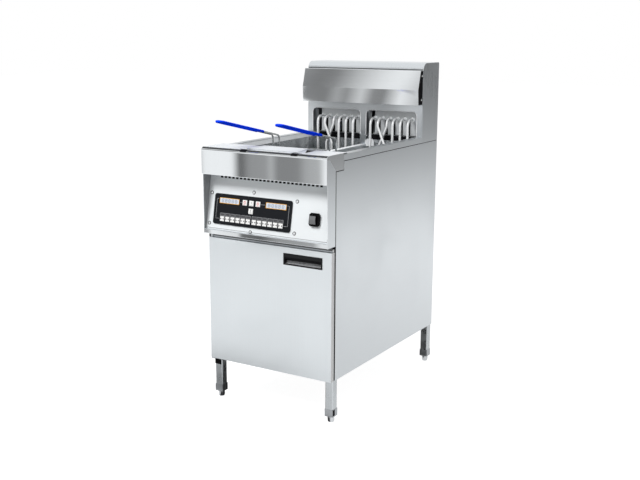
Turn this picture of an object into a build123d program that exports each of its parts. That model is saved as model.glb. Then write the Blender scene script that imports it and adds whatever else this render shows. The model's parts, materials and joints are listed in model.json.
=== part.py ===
from build123d import *
from math import atan2, cos, radians, sin, tan
import os

# Floor-standing electric twin-tank deep fryer, in millimetres.
# x runs to the right, y to the back and z up. The origin is on the floor, in the
# middle of the width and of the whole length with the basket handles.

# Overall sizes
width = 490.0
depth = 820.0
height = 1166.0
handle_overhang = 80.0
cabinet_floor = 150.0
counter_top = 897.0

# Sheet metal and fits
sheet = 1.5
sheet_bend = 2.0
gap = 0.3
pin_clearance = 0.05

# Cabinet
cheek_depth = 55.5
side_flange = 18.0
rim_drop = 22.0
pan_depth = 20.0
frame_bar = 35.0
frame_depth = 25.0
vent_width = 110.0
vent_height = 8.0
vent_pitch = 20.0
vent_rows = 4
vent_columns = 2

# Legs and feet
leg_size = 30.0
leg_inset = 18.0
leg_front_setback = 67.0
leg_wall = 2.0
leg_corner = 3.0
leg_plug = 12.0
foot_height = 22.0
foot_radius = 10.5
foot_sides = 12
foot_nut_height = 6.0
foot_nut_radius = 12.0
foot_stem_radius = 5.0
foot_stem_length = 38.0

# Nose and its cover plate
ledge_rise = 4.5
nose_drop = 92.0
nose_reach = 126.0
nose_bend = 13.0
ear_reach = 107.0
ear_drop = 53.5
ear_setback = 17.0
notch_width = 40.0
notch_depth = 7.0
cover_thick = 2.5
cover_left = -75.0
cover_right = 122.0
cover_skew = 22.0
cover_setback = 24.0

# Control housing and slanted panel
cheek_setback = 6.5
control_height = 203.9
lip_height = 15.5
panel_foot_setback = 15.5
panel_top_setback = 52.0
panel_foot_rise = 9.5
keypad_rise = 85.4
slot_count = 26
slot_pitch = 15.7
slot_width = 9.5
slot_height = 6.5
slot_drop = 10.0
control_box_depth = 58.0
control_box_height = 194.0
control_box_inset = 38.0

# Keypad, in the plane of the panel
keypad_width = 312.0
keypad_height = 104.0
keypad_corner = 8.0
keypad_thick = 3.0
keypad_inset = 29.0
keypad_border = 10.0
display_width = 84.0
display_height = 21.0
display_offset = 94.0
display_rise = 29.0
display_thick = 1.5
key_size = 18.0
key_thick = 3.0
key_proud = 0.8
key_chamfer = 0.6
key_pitch = 26.5
key_shift = -4.5
lower_key_rise = 2.5
timer_key_width = 17.0
timer_key_height = 16.5
timer_key_pitch = 21.2
timer_key_drop = 33.0
timer_group_offset = 65.0
timer_keys_per_group = 6
screw_radius = 5.0
screw_head = 3.0
screw_sides = 8
screw_margin = 15.6
screw_rise = 14.2

# Power switch
switch_inset = 60.0
switch_width = 38.0
switch_height = 43.0
switch_thick = 10.0
switch_corner = 6.0
switch_chamfer = 2.0
rocker_width = 26.0
rocker_height = 31.0
rocker_play = 1.3
rocker_axis_rise = 4.0
rocker_depth = 6.0
rocker_face = 6.5
rocker_ridge = 5.0
rocker_tilt = 7.0
rocker_pin_radius = 1.5
rocker_pin_reach = 2.5

# Deck and tanks
rim_width = 28.0
divider_width = 26.0
divider_drop = 39.0
divider_lip = 10.0
tank_setback = 128.0
tank_overlap = 20.0
tank_corner = 12.0
tank_corner_steps = 3
tank_wall_depth = 217.0
tank_depth = 260.0
cold_zone_inset = 24.0
cold_zone_corner = 6.0

# Riser and hood
riser_depth = 135.0
riser_bend = 28.0
riser_rear_bend = 6.0
window_rise = 91.0
window_frame = 23.0
window_corner = 15.0
window_jamb = 25.0
hood_top_drop = 26.0
hood_top_reach = 23.0
hood_crease_reach = 42.0
hood_crease_drop = 69.0
hood_foot_reach = 38.0
hood_foot_drop = 125.0
bracket_thick = 2.0
bracket_inset = 12.0
bracket_clear = 3.0
hood_screw_reach = 9.0
hood_screw_drop = 19.0
hood_screw_pitch = 86.0
hood_screw_radius = 3.5
hood_screw_head = 2.5

# Terminal plate, heating elements and probes
terminal_setback = 30.0
terminal_height = 170.0
terminal_slot = 16.0
terminal_slot_inset = 6.0
terminal_slot_rise = 4.0
tube_radius = 5.25
tube_sides = 6
tube_bend_steps = 3
tube_pitch = 31.0
tube_legs = 6
tube_setback = 12.0
tube_back_shift = 12.5
tube_top_rise = 60.0
tube_floor_drop = 167.0
tube_front_clear = 72.0
tube_top_bend = 28.0
tube_foot_bend = 25.0
tube_foot_clear = 30.0
cross_drop = 60.0
cross_bend = 16.0
ferrule_radius = 9.0
ferrule_length = 7.0
probe_radius = 3.0
probe_rise = 42.0
probe_drop = 175.0
probe_bend = 8.0
probe_back_clear = 6.0

# Racks, baskets and grips
rack_margin = 4.0
rack_overhang = 12.0
rack_slot_width = 16.0
rack_slot_pitch = 34.0
rack_slots = 5
basket_side_clear = 19.5
basket_front_clear = 137.0
basket_rear_clear = 78.0
basket_rim_drop = 57.0
basket_wall = 2.0
basket_rim = 6.0
basket_rim_reach = 3.0
mesh_gap = 30.0
mesh_pitch = 38.0
wire_radius = 3.0
wire_sides = 6
wire_spread = 13.0
wire_foot_rise = 20.0
wire_top_rise = 28.0
wire_split_rise = 8.0
wire_bend = 14.0
handle_angle = 12.3
grip_root_reach = 160.0
grip_width = 36.0
grip_thick = 10.5
grip_chamfer = 2.4
grip_wire_depth = 60.0
grip_slot_width = 14.0
grip_slot_length = 120.0
grip_slot_margin = 14.0

# Door
door_setback = 33.7
door_thick = 18.0
door_clear = 0.5
door_gap = 18.6
hinge_inset = 8.0
hinge_pin_radius = 4.0
hinge_pin_grip = 12.0
hinge_collar_radius = 7.0
hinge_plate_thick = 3.0
hinge_plate_width = 20.0
pull_width = 149.0
pull_height = 39.0
pull_right_inset = 35.0
pull_drop = 20.0
pull_rim = 3.0
pull_proud = 2.0
pull_depth = 12.0
pull_wall = 1.5
pull_lip = 14.0

# Drains
drain_setback = 70.0
drain_pipe_radius = 16.0
drain_pipe_sides = 12
drain_bore_radius = 13.0
drain_drop = 85.0
drain_run = 90.0
valve_radius = 26.0
valve_length = 46.0
valve_boss_radius = 12.0
valve_boss_reach = 34.0
lever_hub_radius = 12.0
lever_thick = 5.0
lever_width = 16.0
lever_length = 88.0

# Cable gland
gland_x = 150.0
gland_rear_clear = 60.0
gland_bore_radius = 8.0
gland_nut_radius = 16.0
gland_nut_height = 6.0
gland_barrel_radius = 12.0
gland_barrel_height = 20.0

# Planes and levels that the pieces share
half = width / 2
inner_half = half - sheet
front = (handle_overhang - depth) / 2
rear = front + depth
panel_front = front + cheek_depth
panel_back = rear - 2 * sheet
side_top = counter_top - rim_drop
nose_top = counter_top + ledge_rise
nose_bottom = nose_top - nose_drop
ear_bottom = nose_top - ear_drop
ear_back = front + ear_reach
housing_bottom = nose_bottom - control_height
frame_front = panel_front + 2 * sheet
frame_bottom = cabinet_floor + sheet
frame_half = inner_half - sheet
riser_front_y = rear - riser_depth
tank_front = front + tank_setback
tank_back = riser_front_y + tank_overlap
tank_inner = divider_width / 2
tank_outer = half - rim_width
tank_width = tank_outer - tank_inner
tank_length = tank_back - tank_front
tank_centre = (tank_inner + tank_outer) / 2
tank_middle = (tank_front + tank_back) / 2
tank_top = counter_top - sheet
tank_floor = counter_top - tank_depth
tube_plane = riser_front_y - tube_setback
terminal_front = riser_front_y + terminal_setback


def flat_solids(folded, *planes):
    """A folded piece as flat solids that meet face to face along the given planes."""
    solids = folded.solids()
    for plane in planes:
        halves = [split(solid, bisect_by=plane, keep=Keep.BOTH) for solid in solids]
        solids = [solid for half in halves for solid in half.solids()]
    flats = Compound(children=solids)
    flats.label = folded.label
    return flats


# Cabinet shell
with BuildPart() as right_side_panel:
    panel_length = rear - panel_front
    with BuildSketch(Plane.XY.offset(cabinet_floor)):
        with Locations((half, (panel_front + rear) / 2)):
            Rectangle(side_flange, panel_length, align=(Align.MAX, Align.CENTER))
        with Locations((inner_half, (panel_front + rear) / 2)):
            Rectangle(
                side_flange,
                panel_length - 2 * sheet,
                align=(Align.MAX, Align.CENTER),
                mode=Mode.SUBTRACT,
            )
    extrude(amount=side_top - cabinet_floor)
    with Locations((half, panel_front, side_top)):
        Box(
            side_flange,
            ear_back + gap - panel_front,
            side_top - ear_bottom + gap,
            align=(Align.MAX, Align.MIN, Align.MAX),
            mode=Mode.SUBTRACT,
        )
right_side_panel.part.label = "right_side_panel"
right_side_flats = flat_solids(right_side_panel.part, Plane.YZ.offset(inner_half))

with BuildPart() as left_side_panel:
    mirror(right_side_panel.part, about=Plane.YZ)
left_side_panel.part.label = "left_side_panel"
left_side_flats = flat_solids(left_side_panel.part, Plane.YZ.offset(-inner_half))

with BuildPart() as back_panel:
    with BuildSketch(Plane.XZ.offset(-panel_back)):
        with Locations((0, (cabinet_floor + side_top) / 2)):
            Rectangle(2 * inner_half, side_top - cabinet_floor)
            with GridLocations(width / vent_columns, vent_pitch, vent_columns, vent_rows):
                Rectangle(vent_width, vent_height, mode=Mode.SUBTRACT)
    extrude(amount=-sheet)
back_panel.part.label = "back_panel"

gland_y = rear - gland_rear_clear
with BuildPart() as base_pan:
    pan_front = panel_front + sheet
    with Locations((0, pan_front, cabinet_floor)):
        Box(
            2 * inner_half,
            panel_back - pan_front,
            pan_depth,
            align=(Align.CENTER, Align.MIN, Align.MIN),
        )
    offset(amount=-sheet, openings=base_pan.faces().sort_by(Axis.Z)[-1])
    with Locations((gland_x, gland_y, cabinet_floor + sheet)):
        Hole(gland_bore_radius + gap, depth=sheet)
base_pan.part.label = "base_pan"
pan_floor_plane = Plane.XY.offset(cabinet_floor + sheet)
pan_floor = split(base_pan.part, bisect_by=pan_floor_plane, keep=Keep.BOTTOM)
pan_rim = flat_solids(
    split(base_pan.part, bisect_by=pan_floor_plane, keep=Keep.TOP),
    Plane.XZ.offset(-pan_front - sheet),
    Plane.XZ.offset(sheet - panel_back),
)
base_flats = Compound(children=[*pan_floor.solids(), *pan_rim.solids()])
base_flats.label = "base_pan"

doorway_bottom = frame_bottom + frame_bar
doorway_top = housing_bottom - frame_bar
with BuildPart() as front_frame:
    with BuildSketch(Plane.XZ.offset(-frame_front)):
        with Locations((0, (frame_bottom + housing_bottom) / 2)):
            Rectangle(2 * frame_half, housing_bottom - frame_bottom)
        with Locations((0, (doorway_bottom + doorway_top) / 2)):
            Rectangle(
                2 * (frame_half - frame_bar),
                doorway_top - doorway_bottom,
                mode=Mode.SUBTRACT,
            )
    extrude(amount=-frame_depth)
    offset(amount=-sheet, openings=front_frame.faces().sort_by(Axis.Y)[-1])
front_frame.part.label = "front_frame"


# Legs and screw feet
leg_x = half - leg_inset
leg_front_y = front + leg_front_setback
leg_rear_y = rear - leg_size / 2
leg_places = {
    "front_left": (-leg_x, leg_front_y),
    "front_right": (leg_x, leg_front_y),
    "rear_left": (-leg_x, leg_rear_y),
    "rear_right": (leg_x, leg_rear_y),
}
with BuildPart() as legs:
    with BuildSketch(Plane.XY.offset(foot_height)) as leg_sketch:
        with Locations(*leg_places.values()):
            Rectangle(leg_size, leg_size)
        chamfer(leg_sketch.vertices(), leg_corner)
    extrude(amount=cabinet_floor - foot_height)
    with BuildSketch(Plane.XY.offset(foot_height + leg_plug)):
        with Locations(*leg_places.values()):
            Rectangle(leg_size - 2 * leg_wall, leg_size - 2 * leg_wall)
    extrude(amount=cabinet_floor - foot_height - leg_plug, mode=Mode.SUBTRACT)
    with BuildSketch(Plane.XY.offset(foot_height)):
        with Locations(*leg_places.values()):
            RegularPolygon(foot_stem_radius + pin_clearance, foot_sides)
    extrude(amount=leg_plug, mode=Mode.SUBTRACT)
legs.part.label = "legs"

feet = []
for corner, place in leg_places.items():
    with BuildPart() as foot:
        with BuildSketch():
            with Locations(place):
                RegularPolygon(foot_radius, foot_sides)
        extrude(amount=foot_height - foot_nut_height)
        with BuildSketch(Plane.XY.offset(foot_height - foot_nut_height)):
            with Locations(place):
                RegularPolygon(foot_nut_radius, 6)
        extrude(amount=foot_nut_height)
        with BuildSketch(Plane.XY.offset(foot_height)):
            with Locations(place):
                RegularPolygon(foot_stem_radius, foot_sides)
        extrude(amount=foot_stem_length)
    foot.part.label = f"foot_{corner}"
    feet.append(foot.part)


# Nose: one bent sheet with a folded ear at each end
with BuildPart() as nose_cover:
    with BuildSketch(Plane.YZ.offset(-half)):
        with BuildLine():
            FilletPolyline(
                (panel_front, nose_bottom),
                (front, nose_bottom),
                (front, nose_top),
                (front + nose_reach, nose_top),
                (front + nose_reach, counter_top),
                radius=[sheet_bend, nose_bend, sheet_bend],
            )
            offset(amount=sheet, side=Side.RIGHT, mode=Mode.ADD)
        make_face()
    extrude(amount=width)
    with Locations((-half, front + sheet, nose_bottom), (inner_half, front + sheet, nose_bottom)):
        Box(
            sheet,
            cheek_depth,
            sheet_bend,
            align=(Align.MIN, Align.MIN, Align.MIN),
            mode=Mode.SUBTRACT,
        )
    bend_z = nose_top - nose_bend
    ear_front = front + ear_setback
    ear_tip = ear_front + bend_z - ear_bottom
    for side_x in (-half, inner_half):
        with BuildSketch(Plane.YZ.offset(side_x)):
            with BuildLine():
                CenterArc((front + nose_bend, bend_z), nose_bend - sheet / 2, 90, 90)
                Polyline(
                    (front + nose_bend, nose_top - sheet / 2),
                    (ear_back, nose_top - sheet / 2),
                    (ear_back, ear_bottom),
                    (ear_tip, ear_bottom),
                    (ear_front, bend_z),
                    (front + sheet / 2, bend_z),
                )
            make_face()
        extrude(amount=sheet)
    notch_y = front + nose_bend + notch_depth / 2
    with Locations((cover_left, notch_y, nose_top), (cover_right, notch_y, nose_top)):
        Box(
            notch_width,
            notch_depth,
            2 * sheet,
            align=(Align.CENTER, Align.CENTER, Align.CENTER),
            mode=Mode.SUBTRACT,
        )
nose_cover.part.label = "nose_cover"

with BuildPart() as ledge_plate:
    with BuildSketch(Plane.XY.offset(nose_top)):
        with BuildLine():
            Polyline(
                (cover_left, front + cover_setback),
                (cover_right, front + cover_setback),
                (cover_right - cover_skew, front + nose_reach),
                (cover_left, front + nose_reach),
                close=True,
            )
        make_face()
    extrude(amount=cover_thick)
ledge_plate.part.label = "ledge_plate"


# Control housing and its slanted panel
panel_foot = (front + panel_foot_setback, housing_bottom + panel_foot_rise)
panel_head = (front + panel_top_setback, nose_bottom)
lean = atan2(panel_head[0] - panel_foot[0], panel_head[1] - panel_foot[1])
keypad_z = housing_bottom + keypad_rise
keypad_y = panel_foot[0] + (keypad_z - panel_foot[1]) * tan(lean)
panel_plane = Plane(
    origin=(0, keypad_y, keypad_z), x_dir=(1, 0, 0), z_dir=(0, -cos(lean), sin(lean))
)
panel_up = (nose_bottom - keypad_z) / cos(lean)
panel_down = (keypad_z - panel_foot[1]) / cos(lean)
lip_top = housing_bottom + lip_height
lip_back = panel_foot[0] + (lip_top - sheet - panel_foot[1]) * tan(lean) - gap

with BuildPart() as control_housing:
    for side_x in (-half, inner_half):
        with BuildSketch(Plane.YZ.offset(side_x)):
            with BuildLine():
                Polyline(
                    (front + cheek_setback, housing_bottom),
                    (panel_front, housing_bottom),
                    (panel_front, bend_z - (panel_front - ear_front)),
                    (ear_front, bend_z),
                    (front + sheet, bend_z),
                    (front + sheet, nose_bottom),
                    (front + cheek_setback, nose_bottom),
                    close=True,
                )
            make_face()
        extrude(amount=sheet)
    with BuildSketch(Plane.YZ.offset(-inner_half)):
        with BuildLine():
            FilletPolyline(
                (panel_front, housing_bottom),
                (front + cheek_setback, housing_bottom),
                (front + cheek_setback, lip_top),
                (lip_back, lip_top),
                radius=sheet_bend,
            )
            offset(amount=sheet, side=Side.RIGHT, mode=Mode.ADD)
        make_face()
    extrude(amount=2 * inner_half)
control_housing.part.label = "control_housing"

keypad_x = keypad_inset + keypad_width / 2 - half
switch_x = half - switch_inset
with BuildPart() as control_panel:
    with BuildSketch(panel_plane):
        with Locations((0, (panel_up - panel_down) / 2)):
            Rectangle(2 * inner_half, panel_up + panel_down)
        with Locations((keypad_x, 0)):
            Rectangle(
                keypad_width - 2 * keypad_border,
                keypad_height - 2 * keypad_border,
                mode=Mode.SUBTRACT,
            )
        with Locations((switch_x, 0)):
            Rectangle(rocker_width, rocker_height + 2 * rocker_play, mode=Mode.SUBTRACT)
        with Locations((0, panel_up - slot_drop)):
            with GridLocations(slot_pitch, slot_height, slot_count, 1):
                Rectangle(slot_width, slot_height, mode=Mode.SUBTRACT)
    extrude(amount=-sheet)
control_panel.part.label = "control_panel"

with BuildPart() as control_box:
    with Locations((0, frame_front, housing_bottom)):
        Box(
            2 * (half - control_box_inset),
            control_box_depth,
            control_box_height,
            align=(Align.CENTER, Align.MIN, Align.MIN),
        )
    with Locations((0, frame_front + sheet, housing_bottom + sheet)):
        Box(
            2 * (half - control_box_inset - sheet),
            control_box_depth - 2 * sheet,
            control_box_height - 2 * sheet,
            align=(Align.CENTER, Align.MIN, Align.MIN),
            mode=Mode.SUBTRACT,
        )
control_box.part.label = "control_box"


# Keypad: bezel, display windows and keys
display_places = [
    (keypad_x - display_offset, display_rise),
    (keypad_x + display_offset, display_rise),
]
key_centre = keypad_x + key_shift
key_places = {
    "key_left": (key_centre - key_pitch, display_rise),
    "key_middle": (key_centre, display_rise),
    "key_right": (key_centre + key_pitch, display_rise),
    "key_lower": (key_centre, lower_key_rise),
}
timer_places = {}
for group, group_x in enumerate((keypad_x - timer_group_offset, keypad_x + timer_group_offset)):
    for column in range(timer_keys_per_group):
        number = group * timer_keys_per_group + column + 1
        timer_x = group_x + (column - (timer_keys_per_group - 1) / 2) * timer_key_pitch
        timer_places[f"timer_key_{number}"] = (timer_x, -timer_key_drop)

with BuildPart() as keypad_bezel:
    with BuildSketch(panel_plane):
        with Locations((keypad_x, 0)):
            RectangleRounded(keypad_width, keypad_height, keypad_corner)
        with Locations(*display_places):
            Rectangle(display_width, display_height, mode=Mode.SUBTRACT)
        with Locations(*key_places.values()):
            Rectangle(key_size + 2 * gap, key_size + 2 * gap, mode=Mode.SUBTRACT)
        with Locations(*timer_places.values()):
            Rectangle(
                timer_key_width + 2 * gap, timer_key_height + 2 * gap, mode=Mode.SUBTRACT
            )
    extrude(amount=keypad_thick)
keypad_bezel.part.label = "keypad_bezel"

with BuildPart() as display_windows:
    with BuildSketch(panel_plane.offset(keypad_thick - display_thick)):
        with Locations(*display_places):
            Rectangle(display_width, display_height)
    extrude(amount=display_thick)
display_windows.part.label = "display_windows"

key_back = keypad_thick + key_proud - key_thick
keys = []
for name, place in (key_places | timer_places).items():
    key_w, key_h = (key_size, key_size)
    if name in timer_places:
        key_w, key_h = (timer_key_width, timer_key_height)
    with BuildPart() as key:
        with BuildSketch(panel_plane.offset(key_back)):
            with Locations(place):
                Rectangle(key_w, key_h)
        extrude(amount=key_thick)
        chamfer(key.faces().sort_by(Axis(panel_plane.origin, panel_plane.z_dir))[-1].edges(), key_chamfer)
    key.part.label = name
    keys.append(key.part)


# Power switch: bezel and rocker, which rests with one end pressed
rocker_axis = panel_plane.from_local_coords((switch_x, 0, rocker_axis_rise))
tilt = lean - radians(rocker_tilt)
rocker_plane = Plane(origin=rocker_axis, x_dir=(0, sin(tilt), cos(tilt)), z_dir=(1, 0, 0))
pin_hole_span = rocker_width + 2 * rocker_pin_reach
with BuildPart() as switch_bezel:
    with BuildSketch(panel_plane) as switch_sketch:
        with Locations((switch_x, 0)):
            Rectangle(switch_width, switch_height)
        chamfer(switch_sketch.vertices(), switch_corner)
    extrude(amount=switch_thick)
    chamfer(
        switch_bezel.faces().sort_by(Axis(panel_plane.origin, panel_plane.z_dir))[-1].edges(),
        switch_chamfer,
    )
    with BuildSketch(panel_plane):
        with Locations((switch_x, 0)):
            Rectangle(rocker_width, rocker_height + 2 * rocker_play)
    extrude(amount=switch_thick, mode=Mode.SUBTRACT)
    with BuildSketch(rocker_plane.offset(-pin_hole_span / 2)):
        Circle(rocker_pin_radius + pin_clearance)
    extrude(amount=pin_hole_span, mode=Mode.SUBTRACT)
switch_bezel.part.label = "switch_bezel"

with BuildPart() as rocker:
    with BuildSketch(rocker_plane.offset(gap - rocker_width / 2)):
        with BuildLine():
            Polyline(
                (-rocker_height / 2, -rocker_depth),
                (rocker_height / 2, -rocker_depth),
                (rocker_height / 2, rocker_face),
                (0, rocker_face + rocker_ridge),
                (-rocker_height / 2, rocker_face),
                close=True,
            )
        make_face()
    extrude(amount=rocker_width - 2 * gap)
    with BuildSketch(rocker_plane.offset(gap - pin_hole_span / 2)):
        Circle(rocker_pin_radius)
    extrude(amount=pin_hole_span - 2 * gap)
rocker.part.label = "rocker"


# Tanks, the deck that they hang from, and the cap over the wall between them
def tank_outline(plan_width, plan_length, corner, level):
    """Points round the right tank at one level, each rounded corner in a few straight steps."""
    points = []
    for quarter, (side, end) in enumerate(((1, 1), (-1, 1), (-1, -1), (1, -1))):
        corner_x = tank_centre + side * (plan_width / 2 - corner)
        corner_y = tank_middle + end * (plan_length / 2 - corner)
        for step in range(tank_corner_steps + 1):
            angle = radians(90 * (quarter + step / tank_corner_steps))
            points.append(
                Vector(corner_x + corner * cos(angle), corner_y + corner * sin(angle), level)
            )
    return points


def tank_form(grow):
    """Space of the right tank, grown outwards by a wall: straight sides over a sloping cold zone."""
    plan_width = tank_width + 2 * grow
    plan_length = tank_length + 2 * grow
    floor_level = tank_floor - grow
    wall = tank_outline(plan_width, plan_length, tank_corner + grow, taper_top)
    floor = tank_outline(
        plan_width - 2 * cold_zone_inset,
        plan_length - 2 * cold_zone_inset,
        cold_zone_corner + grow,
        floor_level,
    )
    with BuildPart() as form:
        with BuildSketch(Plane.XY.offset(floor_level)):
            with BuildLine():
                Polyline(*[(point.X, point.Y) for point in wall], close=True)
            make_face()
        extrude(amount=tank_top - floor_level)
        for corner, following, foot in zip(wall, wall[1:] + wall[:1], floor):
            along = following - corner
            split(bisect_by=Plane(corner, x_dir=along, z_dir=along.cross(foot - corner)), keep=Keep.TOP)
    return form.part


def tank_wall(shell, corners):
    """One side of a tank, between the mitre planes at its two corners."""
    with BuildPart() as wall:
        add(shell)
        with BuildSketch(Plane.XY.offset(tank_floor)):
            with BuildLine():
                Polyline(*corners, close=True)
            make_face()
        extrude(amount=tank_depth, mode=Mode.INTERSECT)
    return wall.part


taper_top = tank_top - tank_wall_depth
divider_top = counter_top - divider_drop
divider_front = tank_front + tank_corner
divider_back = tank_back - tank_corner
drain_y = tank_front + drain_setback
with BuildPart() as tank_shell:
    add(tank_form(sheet))
    add(tank_form(0), mode=Mode.SUBTRACT)
    with Locations((tank_inner - sheet, divider_front, divider_top - sheet)):
        Box(
            2 * sheet,
            divider_back - divider_front,
            divider_drop,
            align=(Align.MIN, Align.MIN, Align.MIN),
            mode=Mode.SUBTRACT,
        )
    with BuildSketch(Plane.XY.offset(tank_floor)):
        with Locations((tank_centre, drain_y)):
            RegularPolygon(drain_bore_radius, drain_pipe_sides)
    extrude(amount=-sheet, mode=Mode.SUBTRACT)

# The tank is welded up from four mitred sides, four sloping plates and a floor
mitre_front = tank_front + tank_width / 2
mitre_back = tank_back - tank_width / 2
front_left_corner = (tank_inner - 2 * sheet, tank_front - 2 * sheet)
front_right_corner = (tank_outer + 2 * sheet, tank_front - 2 * sheet)
back_left_corner = (tank_inner - 2 * sheet, tank_back + 2 * sheet)
back_right_corner = (tank_outer + 2 * sheet, tank_back + 2 * sheet)
mitre_meeting = [(tank_centre, mitre_back), (tank_centre, mitre_front)]
mitre_outlines = {
    "front": [front_left_corner, front_right_corner, mitre_meeting[1]],
    "back": [back_left_corner, back_right_corner, mitre_meeting[0]],
    "inner": [front_left_corner, back_left_corner, *mitre_meeting],
    "outer": [front_right_corner, back_right_corner, *mitre_meeting],
}
tank_plates = []
for side, outline in mitre_outlines.items():
    cut_levels = [Plane.XY.offset(taper_top)]
    if side == "inner":
        cut_levels.append(Plane.XY.offset(divider_top - sheet))
    side_plates = flat_solids(tank_wall(tank_shell.part, outline), *cut_levels)
    tank_plates.extend(side_plates.solids())
with BuildPart() as tank_bottom:
    add(tank_shell.part)
    with Locations((tank_centre, tank_middle, tank_floor)):
        Box(
            2 * tank_width,
            2 * tank_length,
            tank_depth,
            align=(Align.CENTER, Align.CENTER, Align.MIN),
            mode=Mode.SUBTRACT,
        )
right_tank = Compound(children=[*tank_plates, *tank_bottom.part.solids()])
right_tank.label = "right_tank"

left_tank = mirror(right_tank, about=Plane.YZ)
left_tank.label = "left_tank"

deck_front = ear_back + gap
deck_back = riser_front_y - gap
with BuildPart() as counter_deck:
    with BuildSketch(Plane.XY.offset(side_top)):
        with Locations((0, deck_front)):
            Rectangle(width, deck_back - deck_front, align=(Align.CENTER, Align.MIN))
            Rectangle(
                2 * inner_half,
                deck_back - deck_front,
                align=(Align.CENTER, Align.MIN),
                mode=Mode.SUBTRACT,
            )
    extrude(amount=rim_drop)
    with BuildSketch(Plane.XY.offset(tank_top)):
        with Locations((0, deck_front)):
            Rectangle(2 * inner_half, deck_back - deck_front, align=(Align.CENTER, Align.MIN))
        with Locations((0, tank_front)):
            Rectangle(
                2 * tank_outer,
                deck_back - tank_front,
                align=(Align.CENTER, Align.MIN),
                mode=Mode.SUBTRACT,
            )
    extrude(amount=sheet)
    cap_length = divider_back - divider_front - 2 * gap
    with Locations((0, divider_front + gap, divider_top)):
        Box(
            divider_width + 2 * sheet,
            cap_length,
            divider_lip,
            align=(Align.CENTER, Align.MIN, Align.MAX),
        )
    with Locations((0, divider_front + gap, divider_top - sheet)):
        Box(
            divider_width,
            cap_length,
            divider_lip,
            align=(Align.CENTER, Align.MIN, Align.MAX),
            mode=Mode.SUBTRACT,
        )
counter_deck.part.label = "counter_deck"


# Riser: shell, front sheet with two windows, hood and its brackets
with BuildPart() as riser_shell:
    with BuildSketch(Plane.YZ.offset(-half)):
        with BuildLine():
            CenterArc((riser_front_y + riser_bend, height - riser_bend), riser_bend, 180, -90)
            Line((riser_front_y + riser_bend, height), (rear - riser_rear_bend, height))
            CenterArc((rear - riser_rear_bend, height - riser_rear_bend), riser_rear_bend, 90, -90)
            Line((rear, height - riser_rear_bend), (rear, side_top))
            offset(amount=sheet, side=Side.RIGHT, mode=Mode.ADD)
        make_face()
    extrude(amount=width)
    for side_x in (-half, inner_half):
        with BuildSketch(Plane.YZ.offset(side_x)):
            with BuildLine():
                CenterArc((riser_front_y + riser_bend, height - riser_bend), riser_bend, 180, -90)
                Line((riser_front_y + riser_bend, height), (rear - riser_rear_bend, height))
                CenterArc(
                    (rear - riser_rear_bend, height - riser_rear_bend), riser_rear_bend, 90, -90
                )
                Polyline(
                    (rear, height - riser_rear_bend),
                    (rear, side_top),
                    (riser_front_y, side_top),
                    (riser_front_y, height - riser_bend),
                )
            make_face()
        extrude(amount=sheet)
riser_shell.part.label = "riser_shell"

window_inner = tank_inner
window_outer = half - window_frame
window_width = window_outer - window_inner
window_centre = (window_inner + window_outer) / 2
window_top = counter_top + window_rise
window_places = [(-window_centre, side_top), (window_centre, side_top)]
with BuildPart() as riser_front:
    front_plane = Plane.XZ.offset(-riser_front_y)
    with BuildSketch(front_plane):
        with Locations((0, side_top)):
            Rectangle(
                2 * inner_half,
                height - riser_bend - side_top,
                align=(Align.CENTER, Align.MIN),
            )
    extrude(amount=-sheet)
    with BuildSketch(front_plane):
        with Locations((-window_centre, counter_top), (window_centre, counter_top)):
            Rectangle(
                window_width + 2 * sheet,
                window_rise + sheet,
                align=(Align.CENTER, Align.MIN),
            )
    extrude(amount=-window_jamb)
    with BuildSketch(front_plane) as window_sketch:
        with Locations(*window_places):
            Rectangle(window_width, window_top - side_top, align=(Align.CENTER, Align.MIN))
        fillet(window_sketch.vertices().group_by(Axis.Y)[-1], window_corner)
    extrude(amount=-window_jamb, mode=Mode.SUBTRACT)
riser_front.part.label = "riser_front"
riser_front_flats = flat_solids(
    riser_front.part, Plane.XY.offset(window_top), Plane.XY.offset(window_top + sheet)
)

hood_top = height - hood_top_drop
hood_line = [
    (riser_front_y, hood_top),
    (riser_front_y - hood_top_reach, hood_top),
    (riser_front_y - hood_crease_reach, hood_top - hood_crease_drop),
    (riser_front_y - hood_foot_reach, hood_top - hood_foot_drop),
]
with BuildPart() as hood_panel:
    with BuildSketch(Plane.YZ.offset(-half)):
        with BuildLine():
            FilletPolyline(*hood_line, radius=sheet_bend)
            offset(amount=sheet, side=Side.LEFT, mode=Mode.ADD)
        make_face()
    extrude(amount=width)
hood_panel.part.label = "hood_panel"

bracket_x = half - bracket_inset - bracket_thick
bracket_top = hood_top - bracket_clear
with BuildPart() as hood_brackets:
    with BuildSketch(Plane.YZ.offset(bracket_x)):
        with BuildLine():
            Polyline(
                (riser_front_y, bracket_top),
                (hood_line[1][0] + bracket_clear, bracket_top),
                (hood_line[2][0] + bracket_clear, hood_line[2][1]),
                (hood_line[3][0] + bracket_clear, hood_line[3][1] + bracket_clear),
                (riser_front_y, hood_line[3][1] + bracket_clear),
                close=True,
            )
        make_face()
    extrude(amount=bracket_thick)
    mirror(about=Plane.YZ)
hood_brackets.part.label = "hood_brackets"

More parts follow.
